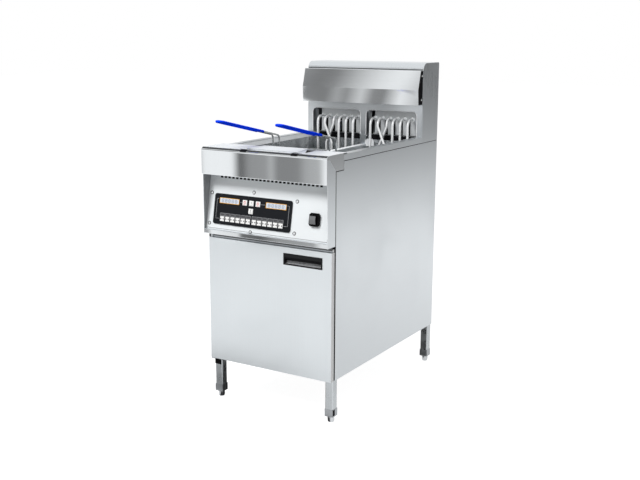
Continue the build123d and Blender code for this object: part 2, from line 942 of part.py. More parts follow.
keypad_left = keypad_x - keypad_width / 2 - screw_margin
keypad_right = keypad_x + keypad_width / 2 + screw_margin
screw_up = keypad_height / 2
panel_screw_places = [
    (keypad_left, screw_up),
    (keypad_left, -screw_up),
    (keypad_right, screw_up),
    (keypad_right, -screw_up),
    (keypad_x, screw_up + screw_rise),
    (keypad_x, -screw_up - screw_rise),
]
hood_screw_y = riser_front_y - hood_screw_reach
with BuildPart() as cover_screws:
    with BuildSketch(panel_plane):
        with Locations(*panel_screw_places):
            RegularPolygon(screw_radius, screw_sides)
    extrude(amount=screw_head)
    for side_x, outward in ((bracket_x + bracket_thick, 1), (-bracket_x - bracket_thick, -1)):
        with BuildSketch(Plane.YZ.offset(side_x)):
            with Locations(
                (hood_screw_y, hood_top - hood_screw_drop),
                (hood_screw_y, hood_top - hood_screw_drop - hood_screw_pitch),
            ):
                RegularPolygon(hood_screw_radius, screw_sides)
        extrude(amount=outward * hood_screw_head)
cover_screws.part.label = "cover_screws"


# Terminal plate in the riser, heating elements and temperature probes
with BuildPart() as terminal_plate:
    with BuildSketch(Plane.XZ.offset(-terminal_front)):
        with Locations((0, counter_top)):
            Rectangle(2 * inner_half, terminal_height, align=(Align.CENTER, Align.MIN))
        for slot_left in (-window_outer, window_inner):
            with Locations((slot_left + terminal_slot_inset, counter_top + terminal_slot_rise)):
                Rectangle(
                    terminal_slot,
                    window_rise,
                    align=(Align.MIN, Align.MIN),
                    mode=Mode.SUBTRACT,
                )
    extrude(amount=-sheet)
terminal_plate.part.label = "terminal_plate"

tube_top = counter_top + tube_top_rise
tube_floor = counter_top - tube_floor_drop
tube_front = tank_front + tube_front_clear
tube_foot_y = tube_plane - tube_foot_clear
cross_z = counter_top - cross_drop


def tube(corners, bends, radius):
    """One bent tube along the corners, each bend in a few straight mitred steps."""
    stations = [Vector(*corners[0])]
    for before, corner, after, bend in zip(corners, corners[1:], corners[2:], bends):
        corner = Vector(*corner)
        towards = (Vector(*before) - corner).normalized()
        onwards = (Vector(*after) - corner).normalized()
        turn = radians(180 - towards.get_angle(onwards))
        to_centre = (towards + onwards).normalized() * (bend / cos(turn / 2))
        arc_start = corner + towards * (bend * tan(turn / 2))
        spoke = arc_start - corner - to_centre
        for step in range(tube_bend_steps + 1):
            angle = turn * step / tube_bend_steps
            stations.append(
                corner + to_centre + spoke * cos(angle) - towards * (bend * sin(angle))
            )
    stations.append(Vector(*corners[-1]))
    with BuildPart() as bent:
        with BuildLine() as tube_line:
            Polyline(*stations)
        with BuildSketch(Plane(origin=corners[0], x_dir=(1, 0, 0), z_dir=(0, -1, 0))):
            RegularPolygon(radius, tube_sides)
        sweep(path=tube_line.wires()[0], transition=Transition.RIGHT)
    return bent.part


def tube_x(leg, centre):
    """Place of one tube leg across its tank."""
    return centre + (leg - (tube_legs - 1) / 2) * tube_pitch


def riser_leg(leg, centre):
    """One tube leg from its hex fitting down to the tank floor; legs 1 and 2 cross over."""
    foot_x = tube_x(leg, centre)
    top_x = foot_x
    rise_y = tube_plane
    bends = [tube_top_bend, tube_foot_bend]
    if leg == 1:
        rise_y = tube_plane + tube_back_shift
        top_x = tube_x(2, centre)
    if leg == 2:
        top_x = tube_x(1, centre)
    corners = [
        (top_x, terminal_front, tube_top),
        (top_x, rise_y, tube_top),
        (foot_x, rise_y, tube_floor),
        (foot_x, tube_foot_y, tube_floor),
    ]
    if top_x != foot_x:
        corners.insert(2, (foot_x, rise_y, cross_z))
        bends = [tube_top_bend, cross_bend, tube_foot_bend]
    with BuildPart() as leg_part:
        add(tube(corners, bends, tube_radius))
        with BuildSketch(Plane.XZ.offset(-terminal_front)):
            with Locations((top_x, tube_top)):
                RegularPolygon(ferrule_radius, 6)
        extrude(amount=ferrule_length)
    return leg_part.part


def floor_loop(first_leg, centre):
    """The flat hairpin that joins two neighbouring legs along the tank floor."""
    near_x = tube_x(first_leg, centre)
    far_x = tube_x(first_leg + 1, centre)
    turn_y = tube_front + tube_pitch / 2
    turn_axis = Axis(((near_x + far_x) / 2, turn_y, tube_floor), (0, 0, 1))
    with BuildPart() as loop:
        with BuildSketch(Plane.XZ.offset(-tube_foot_y)):
            with Locations((near_x, tube_floor), (far_x, tube_floor)):
                RegularPolygon(tube_radius, tube_sides)
        extrude(amount=tube_foot_y - turn_y)
        with BuildSketch(Plane.XZ.offset(-turn_y)):
            with Locations((near_x, tube_floor)):
                RegularPolygon(tube_radius, tube_sides)
        revolve(axis=turn_axis, revolution_arc=180)
    return loop.part


def heating_element(name, centre):
    """Three hairpin tubes, each a floor loop between two riser legs."""
    legs_up = [riser_leg(leg, centre) for leg in range(tube_legs)]
    loops = [floor_loop(first_leg, centre) for first_leg in range(0, tube_legs, 2)]
    element = Compound(children=legs_up + loops)
    element.label = name
    return element


left_heating_element = heating_element("left_heating_element", -tank_centre)
right_heating_element = heating_element("right_heating_element", tank_centre)

probe_y = tank_back - probe_back_clear
with BuildPart() as temperature_probes:
    for centre in (-tank_centre, tank_centre):
        probe_top = counter_top + probe_rise
        probe_route = [
            (centre, terminal_front, probe_top),
            (centre, probe_y, probe_top),
            (centre, probe_y, counter_top - probe_drop),
        ]
        add(tube(probe_route, [probe_bend], probe_radius))
temperature_probes.part.label = "temperature_probes"


# Racks that lie on the tubes, and the baskets that stand on the racks
basket_front = tank_front + basket_front_clear
basket_back = tube_plane - basket_rear_clear
basket_width = tank_width - 2 * basket_side_clear
basket_length = basket_back - basket_front
basket_middle = (basket_front + basket_back) / 2
tube_flat = tube_radius * cos(radians(180 / tube_sides))
rack_top = tube_floor + tube_flat + gap + sheet
with BuildPart() as basket_racks:
    rack_length = basket_length + 2 * rack_overhang
    with BuildSketch(Plane.XY.offset(rack_top)):
        with Locations((tank_centre, basket_middle)):
            Rectangle(tank_width - 2 * rack_margin, rack_length)
            with GridLocations(rack_slot_pitch, rack_length / 2, rack_slots, 2):
                Rectangle(
                    rack_slot_width, rack_length / 2 - 2 * rack_slot_width, mode=Mode.SUBTRACT
                )
    extrude(amount=-sheet)
    mirror(about=Plane.YZ)
basket_racks.part.label = "basket_racks"

basket_bottom = rack_top + gap
rim_top = counter_top - basket_rim_drop
rim_bottom = rim_top - basket_rim
wall_height = rim_bottom - basket_bottom
handle_rise = radians(handle_angle)
wire_y = basket_front - basket_rim_reach - wire_radius
wire_top = counter_top + wire_top_rise
wire_split = counter_top + wire_split_rise
grip_root_y = front + grip_root_reach
grip_root_z = wire_top + (wire_y - grip_root_y) * tan(handle_rise)
wire_end_y = grip_root_y - grip_wire_depth
wire_end_z = wire_top + (wire_y - wire_end_y) * tan(handle_rise)
grip_end_drop = (grip_thick / 2 - grip_chamfer) * sin(handle_rise)
grip_length = (grip_root_reach + handle_overhang - grip_end_drop) / cos(handle_rise)


def mesh_count(span):
    """Number of mesh gaps that fit along a wall."""
    return int((span - mesh_pitch + mesh_gap) / mesh_pitch)


def basket_side(centre):
    """One long wall of a basket as a flat net, at the given x."""
    with BuildPart() as net:
        with BuildSketch(Plane.YZ.offset(centre - basket_wall / 2)):
            with Locations((basket_middle, (basket_bottom + rim_bottom) / 2)):
                Rectangle(basket_length, wall_height)
                with GridLocations(
                    mesh_pitch, mesh_pitch, mesh_count(basket_length), mesh_count(wall_height)
                ):
                    Rectangle(mesh_gap, mesh_gap, mode=Mode.SUBTRACT)
        extrude(amount=basket_wall)
    return net.part


def basket_end(centre, face_y):
    """One short wall of a basket as a flat net, reaching back from the given y."""
    end_width = basket_width - 2 * basket_wall
    with BuildPart() as net:
        with BuildSketch(Plane.XZ.offset(-face_y)):
            with Locations((centre, (basket_bottom + rim_bottom) / 2)):
                Rectangle(end_width, wall_height)
                with GridLocations(
                    mesh_pitch, mesh_pitch, mesh_count(end_width), mesh_count(wall_height)
                ):
                    Rectangle(mesh_gap, mesh_gap, mode=Mode.SUBTRACT)
        extrude(amount=-basket_wall)
    return net.part


def basket_floor(centre):
    """The floor of a basket as a flat net between its walls."""
    floor_width = basket_width - 2 * basket_wall
    floor_length = basket_length - 2 * basket_wall
    with BuildPart() as net:
        with BuildSketch(Plane.XY.offset(basket_bottom)):
            with Locations((centre, basket_middle)):
                Rectangle(floor_width, floor_length)
                with GridLocations(
                    mesh_pitch, mesh_pitch, mesh_count(floor_width), mesh_count(floor_length)
                ):
                    Rectangle(mesh_gap, mesh_gap, mode=Mode.SUBTRACT)
        extrude(amount=basket_wall)
    return net.part


def rim_bars(centre):
    """Four bars that lie on the walls of a basket as its rim."""
    bars = []
    bar_width = 2 * basket_rim_reach
    for side in (-1, 1):
        with BuildPart() as long_bar:
            with Locations((centre + side * basket_width / 2, basket_middle, rim_bottom)):
                Box(
                    bar_width,
                    basket_length + bar_width,
                    basket_rim,
                    align=(Align.CENTER, Align.CENTER, Align.MIN),
                )
        with BuildPart() as short_bar:
            with Locations((centre, basket_middle + side * basket_length / 2, rim_bottom)):
                Box(
                    basket_width - bar_width,
                    bar_width,
                    basket_rim,
                    align=(Align.CENTER, Align.CENTER, Align.MIN),
                )
        bars.extend([long_bar.part, short_bar.part])
    return bars


def upright_wire(wire_x):
    """One wire up the front of a basket, outside its rim."""
    with BuildPart() as wire:
        with BuildSketch(Plane.XY.offset(basket_bottom + wire_foot_rise)):
            with Locations((wire_x, wire_y)):
                RegularPolygon(wire_radius, wire_sides)
        extrude(amount=wire_split - basket_bottom - wire_foot_rise)
    return wire.part


def handle_wire(wire_x):
    """One wire from the top of an upright wire, bent forward into the grip."""
    with BuildPart() as wire:
        with BuildLine() as wire_line:
            FilletPolyline(
                (wire_x, wire_y, wire_split),
                (wire_x, wire_y, wire_top),
                (wire_x, wire_end_y, wire_end_z),
                radius=wire_bend,
            )
        with BuildSketch(Plane(origin=(wire_x, wire_y, wire_split), x_dir=(1, 0, 0))):
            RegularPolygon(wire_radius, wire_sides)
        sweep(path=wire_line.wires()[0])
    return wire.part


def basket(name, centre):
    """A whole basket: five nets, the rim and the handle wires."""
    side_x = (basket_width - basket_wall) / 2
    wires = []
    for wire_x in (centre - wire_spread, centre + wire_spread):
        wires.extend([upright_wire(wire_x), handle_wire(wire_x)])
    nets = [
        basket_side(centre - side_x),
        basket_side(centre + side_x),
        basket_end(centre, basket_front),
        basket_end(centre, basket_back - basket_wall),
        basket_floor(centre),
    ]
    whole = Compound(children=nets + rim_bars(centre) + wires)
    whole.label = name
    return whole


def basket_grip(name, centre):
    """Coated grip: a long flat loop, open near its tip, with pockets for the wires."""
    grip_plane = Plane(
        origin=(centre, grip_root_y, grip_root_z),
        x_dir=(0, -cos(handle_rise), sin(handle_rise)),
        z_dir=(0, sin(handle_rise), cos(handle_rise)),
    )
    with BuildPart() as grip:
        with BuildSketch(grip_plane.offset(-grip_thick / 2)) as outline:
            Rectangle(grip_length, grip_width, align=(Align.MIN, Align.CENTER))
            fillet(outline.vertices().group_by(Axis.X)[-1], grip_width / 2 - sheet)
            with Locations((grip_length - grip_slot_margin - grip_slot_length / 2, 0)):
                Rectangle(grip_slot_length, grip_slot_width, mode=Mode.SUBTRACT)
        extrude(amount=grip_thick)
        faces_along = grip.faces().sort_by(Axis(grip_plane.origin, grip_plane.z_dir))
        chamfer(faces_along[0].outer_wire().edges(), grip_chamfer)
        faces_along = grip.faces().sort_by(Axis(grip_plane.origin, grip_plane.z_dir))
        chamfer(faces_along[-1].outer_wire().edges(), grip_chamfer)
        for wire_x in (centre - wire_spread, centre + wire_spread):
            add(handle_wire(wire_x), mode=Mode.SUBTRACT)
    grip.part.label = name
    return grip.part


left_basket = basket("left_basket", -tank_centre)
right_basket = basket("right_basket", tank_centre)
left_basket_grip = basket_grip("left_basket_grip", -tank_centre)
right_basket_grip = basket_grip("right_basket_grip", tank_centre)


# Door: folded panel, liner, recessed pull and hinge pins
door_front = front + door_setback
door_back = door_front + door_thick
door_bottom = cabinet_floor + door_clear
door_top = housing_bottom - door_gap
hinge_x = hinge_inset - half
hinge_y = door_front + door_thick / 2
pull_x = half - pull_right_inset - pull_width / 2
pull_z = door_top - pull_drop - pull_height / 2
pull_cup_width = pull_width - 2 * pull_rim
pull_cup_height = pull_height - 2 * pull_rim
with BuildPart() as door_panel:
    with Locations((0, door_front, door_bottom)):
        Box(
            width,
            door_thick,
            door_top - door_bottom,
            align=(Align.CENTER, Align.MIN, Align.MIN),
        )
    offset(amount=-sheet, openings=door_panel.faces().sort_by(Axis.Y)[-1])
    with Locations((hinge_x, hinge_y, (door_bottom + door_top) / 2)):
        Cylinder(
            hinge_pin_radius + pin_clearance, door_top - door_bottom, mode=Mode.SUBTRACT
        )
    with Locations((pull_x, door_front, pull_z)):
        Box(pull_cup_width, 2 * sheet, pull_cup_height, mode=Mode.SUBTRACT)
door_panel.part.label = "door_panel"

with BuildPart() as door_liner:
    with BuildSketch(Plane.XZ.offset(-door_back)):
        with Locations((0, (door_bottom + door_top) / 2)):
            Rectangle(width - 2 * sheet, door_top - door_bottom - 2 * sheet)
    extrude(amount=sheet)
door_liner.part.label = "door_liner"

with BuildPart() as door_handle:
    with Locations((pull_x, door_front, pull_z)):
        Box(pull_width, pull_proud, pull_height, align=(Align.CENTER, Align.MAX, Align.CENTER))
        Box(
            pull_cup_width,
            pull_depth + pull_wall,
            pull_cup_height,
            align=(Align.CENTER, Align.MIN, Align.CENTER),
        )
        Box(
            pull_cup_width - 2 * pull_wall,
            pull_depth,
            pull_cup_height - 2 * pull_wall,
            align=(Align.CENTER, Align.MIN, Align.CENTER),
            mode=Mode.SUBTRACT,
        )
    with Locations((pull_x, door_front, pull_z - pull_cup_height / 2 + pull_wall)):
        Box(
            pull_cup_width - 2 * pull_wall,
            2 * pull_proud,
            pull_cup_height - 2 * pull_wall - pull_lip,
            align=(Align.CENTER, Align.CENTER, Align.MIN),
            mode=Mode.SUBTRACT,
        )
door_handle.part.label = "door_handle"

hinge_plate_back = leg_front_y - leg_size / 2
with BuildPart() as hinge_pins:
    with Locations((hinge_x, hinge_y, housing_bottom)):
        Cylinder(
            hinge_collar_radius,
            door_gap - gap,
            align=(Align.CENTER, Align.CENTER, Align.MAX),
        )
        Cylinder(
            hinge_pin_radius,
            door_gap + hinge_pin_grip,
            align=(Align.CENTER, Align.CENTER, Align.MAX),
        )
    with Locations((hinge_x, hinge_plate_back, cabinet_floor)):
        Box(
            hinge_plate_width - hinge_inset / 2,
            hinge_plate_back - hinge_y + hinge_collar_radius,
            hinge_plate_thick,
            align=(Align.CENTER, Align.MAX, Align.MAX),
        )
    with Locations((hinge_x, hinge_y, cabinet_floor)):
        Cylinder(
            hinge_pin_radius,
            hinge_pin_grip,
            align=(Align.CENTER, Align.CENTER, Align.MIN),
        )
hinge_pins.part.label = "hinge_pins"


# Drain pipes with their valves, and the valve levers
drain_z = tank_floor - sheet - drain_drop
valve_y = drain_y - drain_run / 2
with BuildPart() as drain_valves:
    with BuildSketch(Plane.XY.offset(tank_floor - sheet)):
        with Locations((tank_centre, drain_y)):
            RegularPolygon(drain_pipe_radius, drain_pipe_sides)
    extrude(amount=-drain_drop)
    with BuildSketch(Plane.XZ.offset(-drain_y - drain_pipe_radius)):
        with Locations((tank_centre, drain_z)):
            RegularPolygon(drain_pipe_radius, drain_pipe_sides)
    extrude(amount=drain_run + drain_pipe_radius)
    with BuildSketch(Plane.XZ.offset(-valve_y - valve_length / 2)):
        with Locations((tank_centre, drain_z)):
            RegularPolygon(valve_radius, 6)
    extrude(amount=valve_length)
    with BuildSketch(Plane.YZ.offset(tank_centre - valve_boss_reach)):
        with Locations((valve_y, drain_z)):
            RegularPolygon(valve_boss_radius, 6)
    extrude(amount=valve_boss_reach)
    with BuildSketch(Plane.XY.offset(tank_floor - sheet)):
        with Locations((tank_centre, drain_y)):
            RegularPolygon(drain_bore_radius, drain_pipe_sides)
    extrude(amount=-drain_drop, mode=Mode.SUBTRACT)
    mirror(about=Plane.YZ)
drain_valves.part.label = "drain_valves"

with BuildPart() as right_valve_lever:
    lever_x = tank_centre - valve_boss_reach - gap
    with BuildSketch(Plane.YZ.offset(lever_x)):
        with Locations((valve_y, drain_z)):
            Circle(lever_hub_radius)
            Rectangle(lever_width, lever_length, align=(Align.CENTER, Align.MAX))
    extrude(amount=-lever_thick)
right_valve_lever.part.label = "right_valve_lever"

with BuildPart() as left_valve_lever:
    mirror(right_valve_lever.part, about=Plane.YZ)
left_valve_lever.part.label = "left_valve_lever"


# Cable gland under the base pan
with BuildPart() as cable_gland:
    with BuildSketch(Plane.XY.offset(cabinet_floor)):
        with Locations((gland_x, gland_y)):
            RegularPolygon(gland_nut_radius, 6)
    extrude(amount=-gland_nut_height)
    with BuildSketch(Plane.XY.offset(cabinet_floor - gland_nut_height)):
        with Locations((gland_x, gland_y)):
            RegularPolygon(gland_barrel_radius, 12)
    extrude(amount=-gland_barrel_height)
    with Locations((gland_x, gland_y, cabinet_floor)):
        Hole(gland_bore_radius, depth=gland_nut_height + gland_barrel_height)
cable_gland.part.label = "cable_gland"


pieces = [
    left_side_flats,
    right_side_flats,
    back_panel.part,
    base_flats,
    front_frame.part,
    legs.part,
    *feet,
    nose_cover.part,
    ledge_plate.part,
    control_housing.part,
    control_panel.part,
    control_box.part,
    keypad_bezel.part,
    display_windows.part,
    *keys,
    switch_bezel.part,
    rocker.part,
    left_tank,
    right_tank,
    counter_deck.part,
    riser_shell.part,
    riser_front_flats,
    hood_panel.part,
    hood_brackets.part,
    cover_screws.part,
    terminal_plate.part,
    left_heating_element,
    right_heating_element,
    temperature_probes.part,
    basket_racks.part,
    left_basket,
    right_basket,
    left_basket_grip,
    right_basket_grip,
    door_panel.part,
    door_liner.part,
    door_handle.part,
    hinge_pins.part,
    drain_valves.part,
    left_valve_lever.part,
    right_valve_lever.part,
    cable_gland.part,
]
os.makedirs("parts", exist_ok=True)
for piece in pieces:
    export_step(piece, f"parts/{piece.label}.step")
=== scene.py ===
"""Twin-tank floor fryer: the visual model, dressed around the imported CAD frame.

Lengths are in millimetres as in the CAD: x to the right from the middle, y back from
the front of the nose, and z up from the floor. The helper at() turns them into metres.
"""

from __future__ import annotations

import json
import logging
import math
from dataclasses import dataclass
from enum import Enum
from functools import cache
from typing import Iterable, Sequence

import bmesh
import bpy
from mathutils import Matrix, Vector

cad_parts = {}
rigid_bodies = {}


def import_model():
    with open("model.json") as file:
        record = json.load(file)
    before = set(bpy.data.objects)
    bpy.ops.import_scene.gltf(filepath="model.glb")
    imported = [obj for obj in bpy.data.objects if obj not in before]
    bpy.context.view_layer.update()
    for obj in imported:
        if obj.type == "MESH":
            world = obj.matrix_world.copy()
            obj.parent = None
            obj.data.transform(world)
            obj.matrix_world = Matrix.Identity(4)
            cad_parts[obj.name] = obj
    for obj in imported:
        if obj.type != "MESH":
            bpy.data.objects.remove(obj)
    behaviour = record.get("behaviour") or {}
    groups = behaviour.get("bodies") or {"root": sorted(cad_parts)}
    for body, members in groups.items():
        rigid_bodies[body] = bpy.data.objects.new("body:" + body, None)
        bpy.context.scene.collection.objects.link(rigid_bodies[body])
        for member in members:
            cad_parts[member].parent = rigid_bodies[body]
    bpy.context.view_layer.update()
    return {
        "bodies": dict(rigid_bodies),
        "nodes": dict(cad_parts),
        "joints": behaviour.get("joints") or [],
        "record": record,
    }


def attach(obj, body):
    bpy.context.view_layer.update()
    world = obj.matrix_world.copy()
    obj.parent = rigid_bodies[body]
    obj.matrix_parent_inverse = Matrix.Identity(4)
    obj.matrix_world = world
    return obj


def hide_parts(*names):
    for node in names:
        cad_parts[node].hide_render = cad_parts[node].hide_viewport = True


LOG = logging.getLogger("fryer")
MM = 0.001
NOSE_Y = -370.0
BUMP_DEPTH = 0.0002
SIDES = (("left", -1), ("right", 1))
TANK_X = 115.0
# Distances in metres below which vertices are one, in finished meshes and in turned forms.
WELD, FINE_WELD = 1e-6, 1e-7
# Angles between faces, in degrees: flat sheet, and up to which an edge is shaded smooth.
FLAT_DEG = 0.5
SHEET_DEG, FOLDED_DEG, ROUND_DEG, CURVED_DEG = 22.0, 30.0, 40.0, 60.0
# Distance in millimetres within which a vertex lies at the old place of a nudge.
NUDGE_REACH = 0.06
# Millimetres by which two bends that follow each other stay apart.
BEND_CLEAR = 0.01
TURNED_SIDES = 20
# Numbers of the colour sockets of a Mix node: its two inputs and its result.
MIX_DARK, MIX_LIGHT, MIX_RESULT = 6, 7, 2

Mesh = bmesh.types.BMesh
Edge = bmesh.types.BMEdge
Vert = bmesh.types.BMVert
Socket = bpy.types.NodeSocket
Tree = bpy.types.NodeTree
Material = bpy.types.Material
Pair = tuple[float, float]
Spot = tuple[float, float, float]
Colour = tuple[float, float, float]
Box = tuple[Spot, Spot]
Band = tuple[Pair, Pair]
Pairs = tuple[Pair, ...]
Nudge = tuple[int, float, float]


def at(x: float, y: float, z: float) -> Vector:
    """Point in metres from millimetres across, behind the nose front and above the floor."""
    return Vector((x, y + NOSE_Y, z)) * MM


def facing(direction: Sequence[float], spot: Vector) -> Matrix:
    """Matrix at a spot whose local Z points in a direction."""
    turn = Vector(direction).to_track_quat("Z", "Y").to_matrix().to_4x4()
    return Matrix.Translation(spot) @ turn


def only(items: Iterable, kind: type) -> list:
    """Those of some mesh items that are of one kind."""
    return [item for item in items if isinstance(item, kind)]


def to_data(mesh: Mesh, name: str) -> bpy.types.Mesh:
    """Write a bmesh to new mesh data and free it.

    Args:
        mesh: Mesh to write.
        name: Name of the data.

    Returns:
        The mesh data.
    """
    data = bpy.data.meshes.new(name)
    mesh.to_mesh(data)
    mesh.free()
    return data


def put(name: str, data: bpy.types.ID) -> bpy.types.Object:
    """Make an object of some data and link it into the scene.

    Args:
        name: Name of the object.
        data: Its mesh, camera or light data.

    Returns:
        The object.
    """
    thing = bpy.data.objects.new(name, data)
    bpy.context.scene.collection.objects.link(thing)
    return thing


def add_node(
    tree: Tree, kind: str, inputs: dict[str | int, object] | None = None, **settings: object
) -> bpy.types.Node:
    """Place a shader node in a tree.

    Args:
        tree: Tree to place it in.
        kind: Its type, without the leading ShaderNode.
        inputs: Socket to link or plain value to set, by the input's name or number.
        settings: Other properties of the node, set first.

    Returns:
        The new node.
    """
    node = tree.nodes.new(f"ShaderNode{kind}")
    for key, value in settings.items():
        setattr(node, key, value)
    for key, value in (inputs or {}).items():
        if isinstance(value, Socket):
            tree.links.new(value, node.inputs[key])
        else:
            node.inputs[key].default_value = value
    return node


class Grain(Enum):
    """Direction of the brush marks in a sheet, as stretch factors for its noise."""

    ACROSS = (3.0, 700.0, 700.0)
    BACKWARD = (700.0, 3.0, 700.0)
    UPRIGHT = (700.0, 700.0, 3.0)
    NONE = (260.0, 260.0, 260.0)


class SurfaceGroups:
    """Shader node groups that several finishes share, each built once."""

    @staticmethod
    def _open(name: str, output: str, **inputs: str) -> tuple[Tree, dict[str, Socket], Socket]:
        """Open a new group tree with one value as its output.

        Args:
            name: Name of the group.
            output: Name of its output.
            inputs: Type of each input, Vector or Float, by name.

        Returns:
            The tree, the sockets of its inputs by name, and the socket of its output.
        """
        tree = bpy.data.node_groups.new(name, "ShaderNodeTree")
        for socket, kind in inputs.items():
            tree.interface.new_socket(socket, in_out="INPUT", socket_type=f"NodeSocket{kind}")
        tree.interface.new_socket(output, in_out="OUTPUT", socket_type="NodeSocketFloat")
        given = tree.nodes.new("NodeGroupInput").outputs
        sink = tree.nodes.new("NodeGroupOutput").inputs[output]
        return tree, {socket: given[socket] for socket in inputs}, sink

    @classmethod
    @cache
    def brush_marks(cls) -> Tree:
        """Long fine streaks along one direction, as a value from 0 to 1.

        Returns:
            The group.
        """
        tree, given, sink = cls._open("brush_marks", "Streak", Vector="Vector", Stretch="Vector")
        factors = {0: given["Vector"], 1: given["Stretch"]}
        stretch = add_node(tree, "VectorMath", factors, operation="MULTIPLY").outputs["Vector"]
        noise = {"Vector": stretch, "Scale": 1.0, "Detail": 4.0, "Roughness": 0.6}
        tree.links.new(add_node(tree, "TexNoise", noise).outputs["Fac"], sink)
        return tree

    @classmethod
    @cache
    def handling_film(cls) -> Tree:
        """Soft patches where hands and wiping left a film, as a mask from 0 to Amount.

        Returns:
            The group.
        """
        tree, given, sink = cls._open(
            "handling_film", "Film", Vector="Vector", Scale="Float", Amount="Float"
        )
        amount = given.pop("Amount")
        noise = add_node(tree, "TexNoise", {**given, "Detail": 3.0, "Distortion": 0.7})
        edges = {"Value": noise.outputs["Fac"], "From Min": 0.40, "From Max": 0.72}
        patch = add_node(tree, "MapRange", edges).outputs["Result"]
        mask = add_node(tree, "Math", {0: patch, 1: amount}, operation="MULTIPLY")
        tree.links.new(mask.outputs["Value"], sink)
        return tree

    @classmethod
    @cache
    def moulded_speck(cls) -> Tree:
        """Fine even texture of moulded or coated surfaces, as a value from 0 to 1.

        Returns:
            The group.
        """
        tree, given, sink = cls._open("moulded_speck", "Speck", Vector="Vector", Scale="Float")
        noise = add_node(tree, "TexNoise", {**given, "Detail": 2.0, "Roughness": 0.7})
        tree.links.new(noise.outputs["Fac"], sink)
        return tree


class Recipe:
    """One material while it is wired: its tree, its shader and its object coordinates."""

    def __init__(self, name: str, values: dict[str, float]) -> None:
        """Start a material with a Principled shader.

        Args:
            name: Name of the material.
            values: Plain values for some of the shader's sockets, by name.
        """
        self.material = bpy.data.materials.new(name)
        self.material.use_nodes = True
        self.tree = self.material.node_tree
        self.shader = self.tree.nodes["Principled BSDF"].inputs
        self.coords = add_node(self.tree, "TexCoord").outputs["Object"]
        for socket, value in values.items():
            self.shader[socket].default_value = value

    def group(self, tree: Tree, **values: object) -> Socket:
        """Place a shared group on the object coordinates and return its output."""
        inputs = {"Vector": self.coords, **values}
        return add_node(self.tree, "Group", inputs, node_tree=tree).outputs[0]

    def surface(
        self,
        texture: Socket,
        film: Socket,
        colour: tuple[Colour, float],
        roughness: Pair,
        relief: float,
    ) -> Material:
        """Let a texture vary the shader's roughness, colour and relief.

        Args:
            texture: Value from 0 to 1 over the surface.
            film: Roughness that a film adds.
            colour: Mean colour, and the share by which it varies.
            roughness: Mean roughness, and the share by which it varies.
            relief: Strength of the bump.

        Returns:
            The finished material.
        """
        mean, share = roughness
        limits = {"To Min": mean * (1.0 - share), "To Max": mean * (1.0 + share)}
        spread = add_node(self.tree, "MapRange", {"Value": texture, **limits}).outputs["Result"]
        total = add_node(self.tree, "Math", {0: spread, 1: film}, operation="ADD")
        tint, contrast = colour
        dark, light = (
            (*[min(1.0, channel * factor) for channel in tint], 1.0)
            for factor in (1.0 - contrast, 1.0 + contrast)
        )
        mix = add_node(self.tree, "Mix", data_type="RGBA")
        mix.inputs[MIX_DARK].default_value = dark
        mix.inputs[MIX_LIGHT].default_value = light
        self.tree.links.new(texture, mix.inputs[0])
        height = {"Strength": relief, "Distance": BUMP_DEPTH, "Height": texture}
        bump = add_node(self.tree, "Bump", height)
        self.tree.links.new(total.outputs["Value"], self.shader["Roughness"])
        self.tree.links.new(mix.outputs[MIX_RESULT], self.shader["Base Color"])
        self.tree.links.new(bump.outputs["Normal"], self.shader["Normal"])
        return self.material


@dataclass(frozen=True)
class Steel:
    """Sheet, tube or wire of stainless steel with brush marks and a film from handling."""

    name: str
    tint: Colour
    roughness: float
    grain: Grain = Grain.NONE
    contrast: float = 0.10
    relief: float = 0.04
    film: float = 0.06
    patch_scale: float = 5.0
    metallic: float = 1.0
    spread: float = 0.15

    @cache
    def material(self) -> Material:
        """Wire the finish's material, once.

        Returns:
            The material.
        """
        recipe = Recipe(self.name, {"Metallic": self.metallic})
        streak = recipe.group(SurfaceGroups.brush_marks(), Stretch=self.grain.value)
        patches = {"Scale": self.patch_scale, "Amount": self.film}
        film = recipe.group(SurfaceGroups.handling_film(), **patches)
        tint = (self.tint, self.contrast)
        return recipe.surface(streak, film, tint, (self.roughness, self.spread), self.relief)


@dataclass(frozen=True)
class Moulded:
    """Moulded plastic, paint or plastic coating with a fine even texture."""

    name: str
    colour: Colour
    roughness: float
    coat: float = 0.0
    speck_scale: float = 900.0
    relief: float = 0.08
    variation: float = 0.05
    specular: float = 0.5
    spread: float = 0.1
    coat_roughness: float = 0.08
    patch_scale: float = 14.0
    film_share: float = 0.25

    @cache
    def material(self) -> Material:
        """Wire the finish's material, once.

        Returns:
            The material.
        """
        coat = {"Coat Weight": self.coat, "Coat Roughness": self.coat_roughness}
        plain = {"Metallic": 0.0, "Specular IOR Level": self.specular}
        recipe = Recipe(self.name, {**plain, **coat})
        speck = recipe.group(SurfaceGroups.moulded_speck(), Scale=self.speck_scale)
        patches = {"Scale": self.patch_scale, "Amount": self.roughness * self.film_share}
        film = recipe.group(SurfaceGroups.handling_film(), **patches)
        colour = (self.colour, self.variation)
        return recipe.surface(speck, film, colour, (self.roughness, self.spread), self.relief)


def ink(name: str, colour: Colour, roughness: float) -> Moulded:
    """Finish of a printed line or sign."""
    return Moulded(name, colour, roughness, speck_scale=1400.0, relief=0.02)


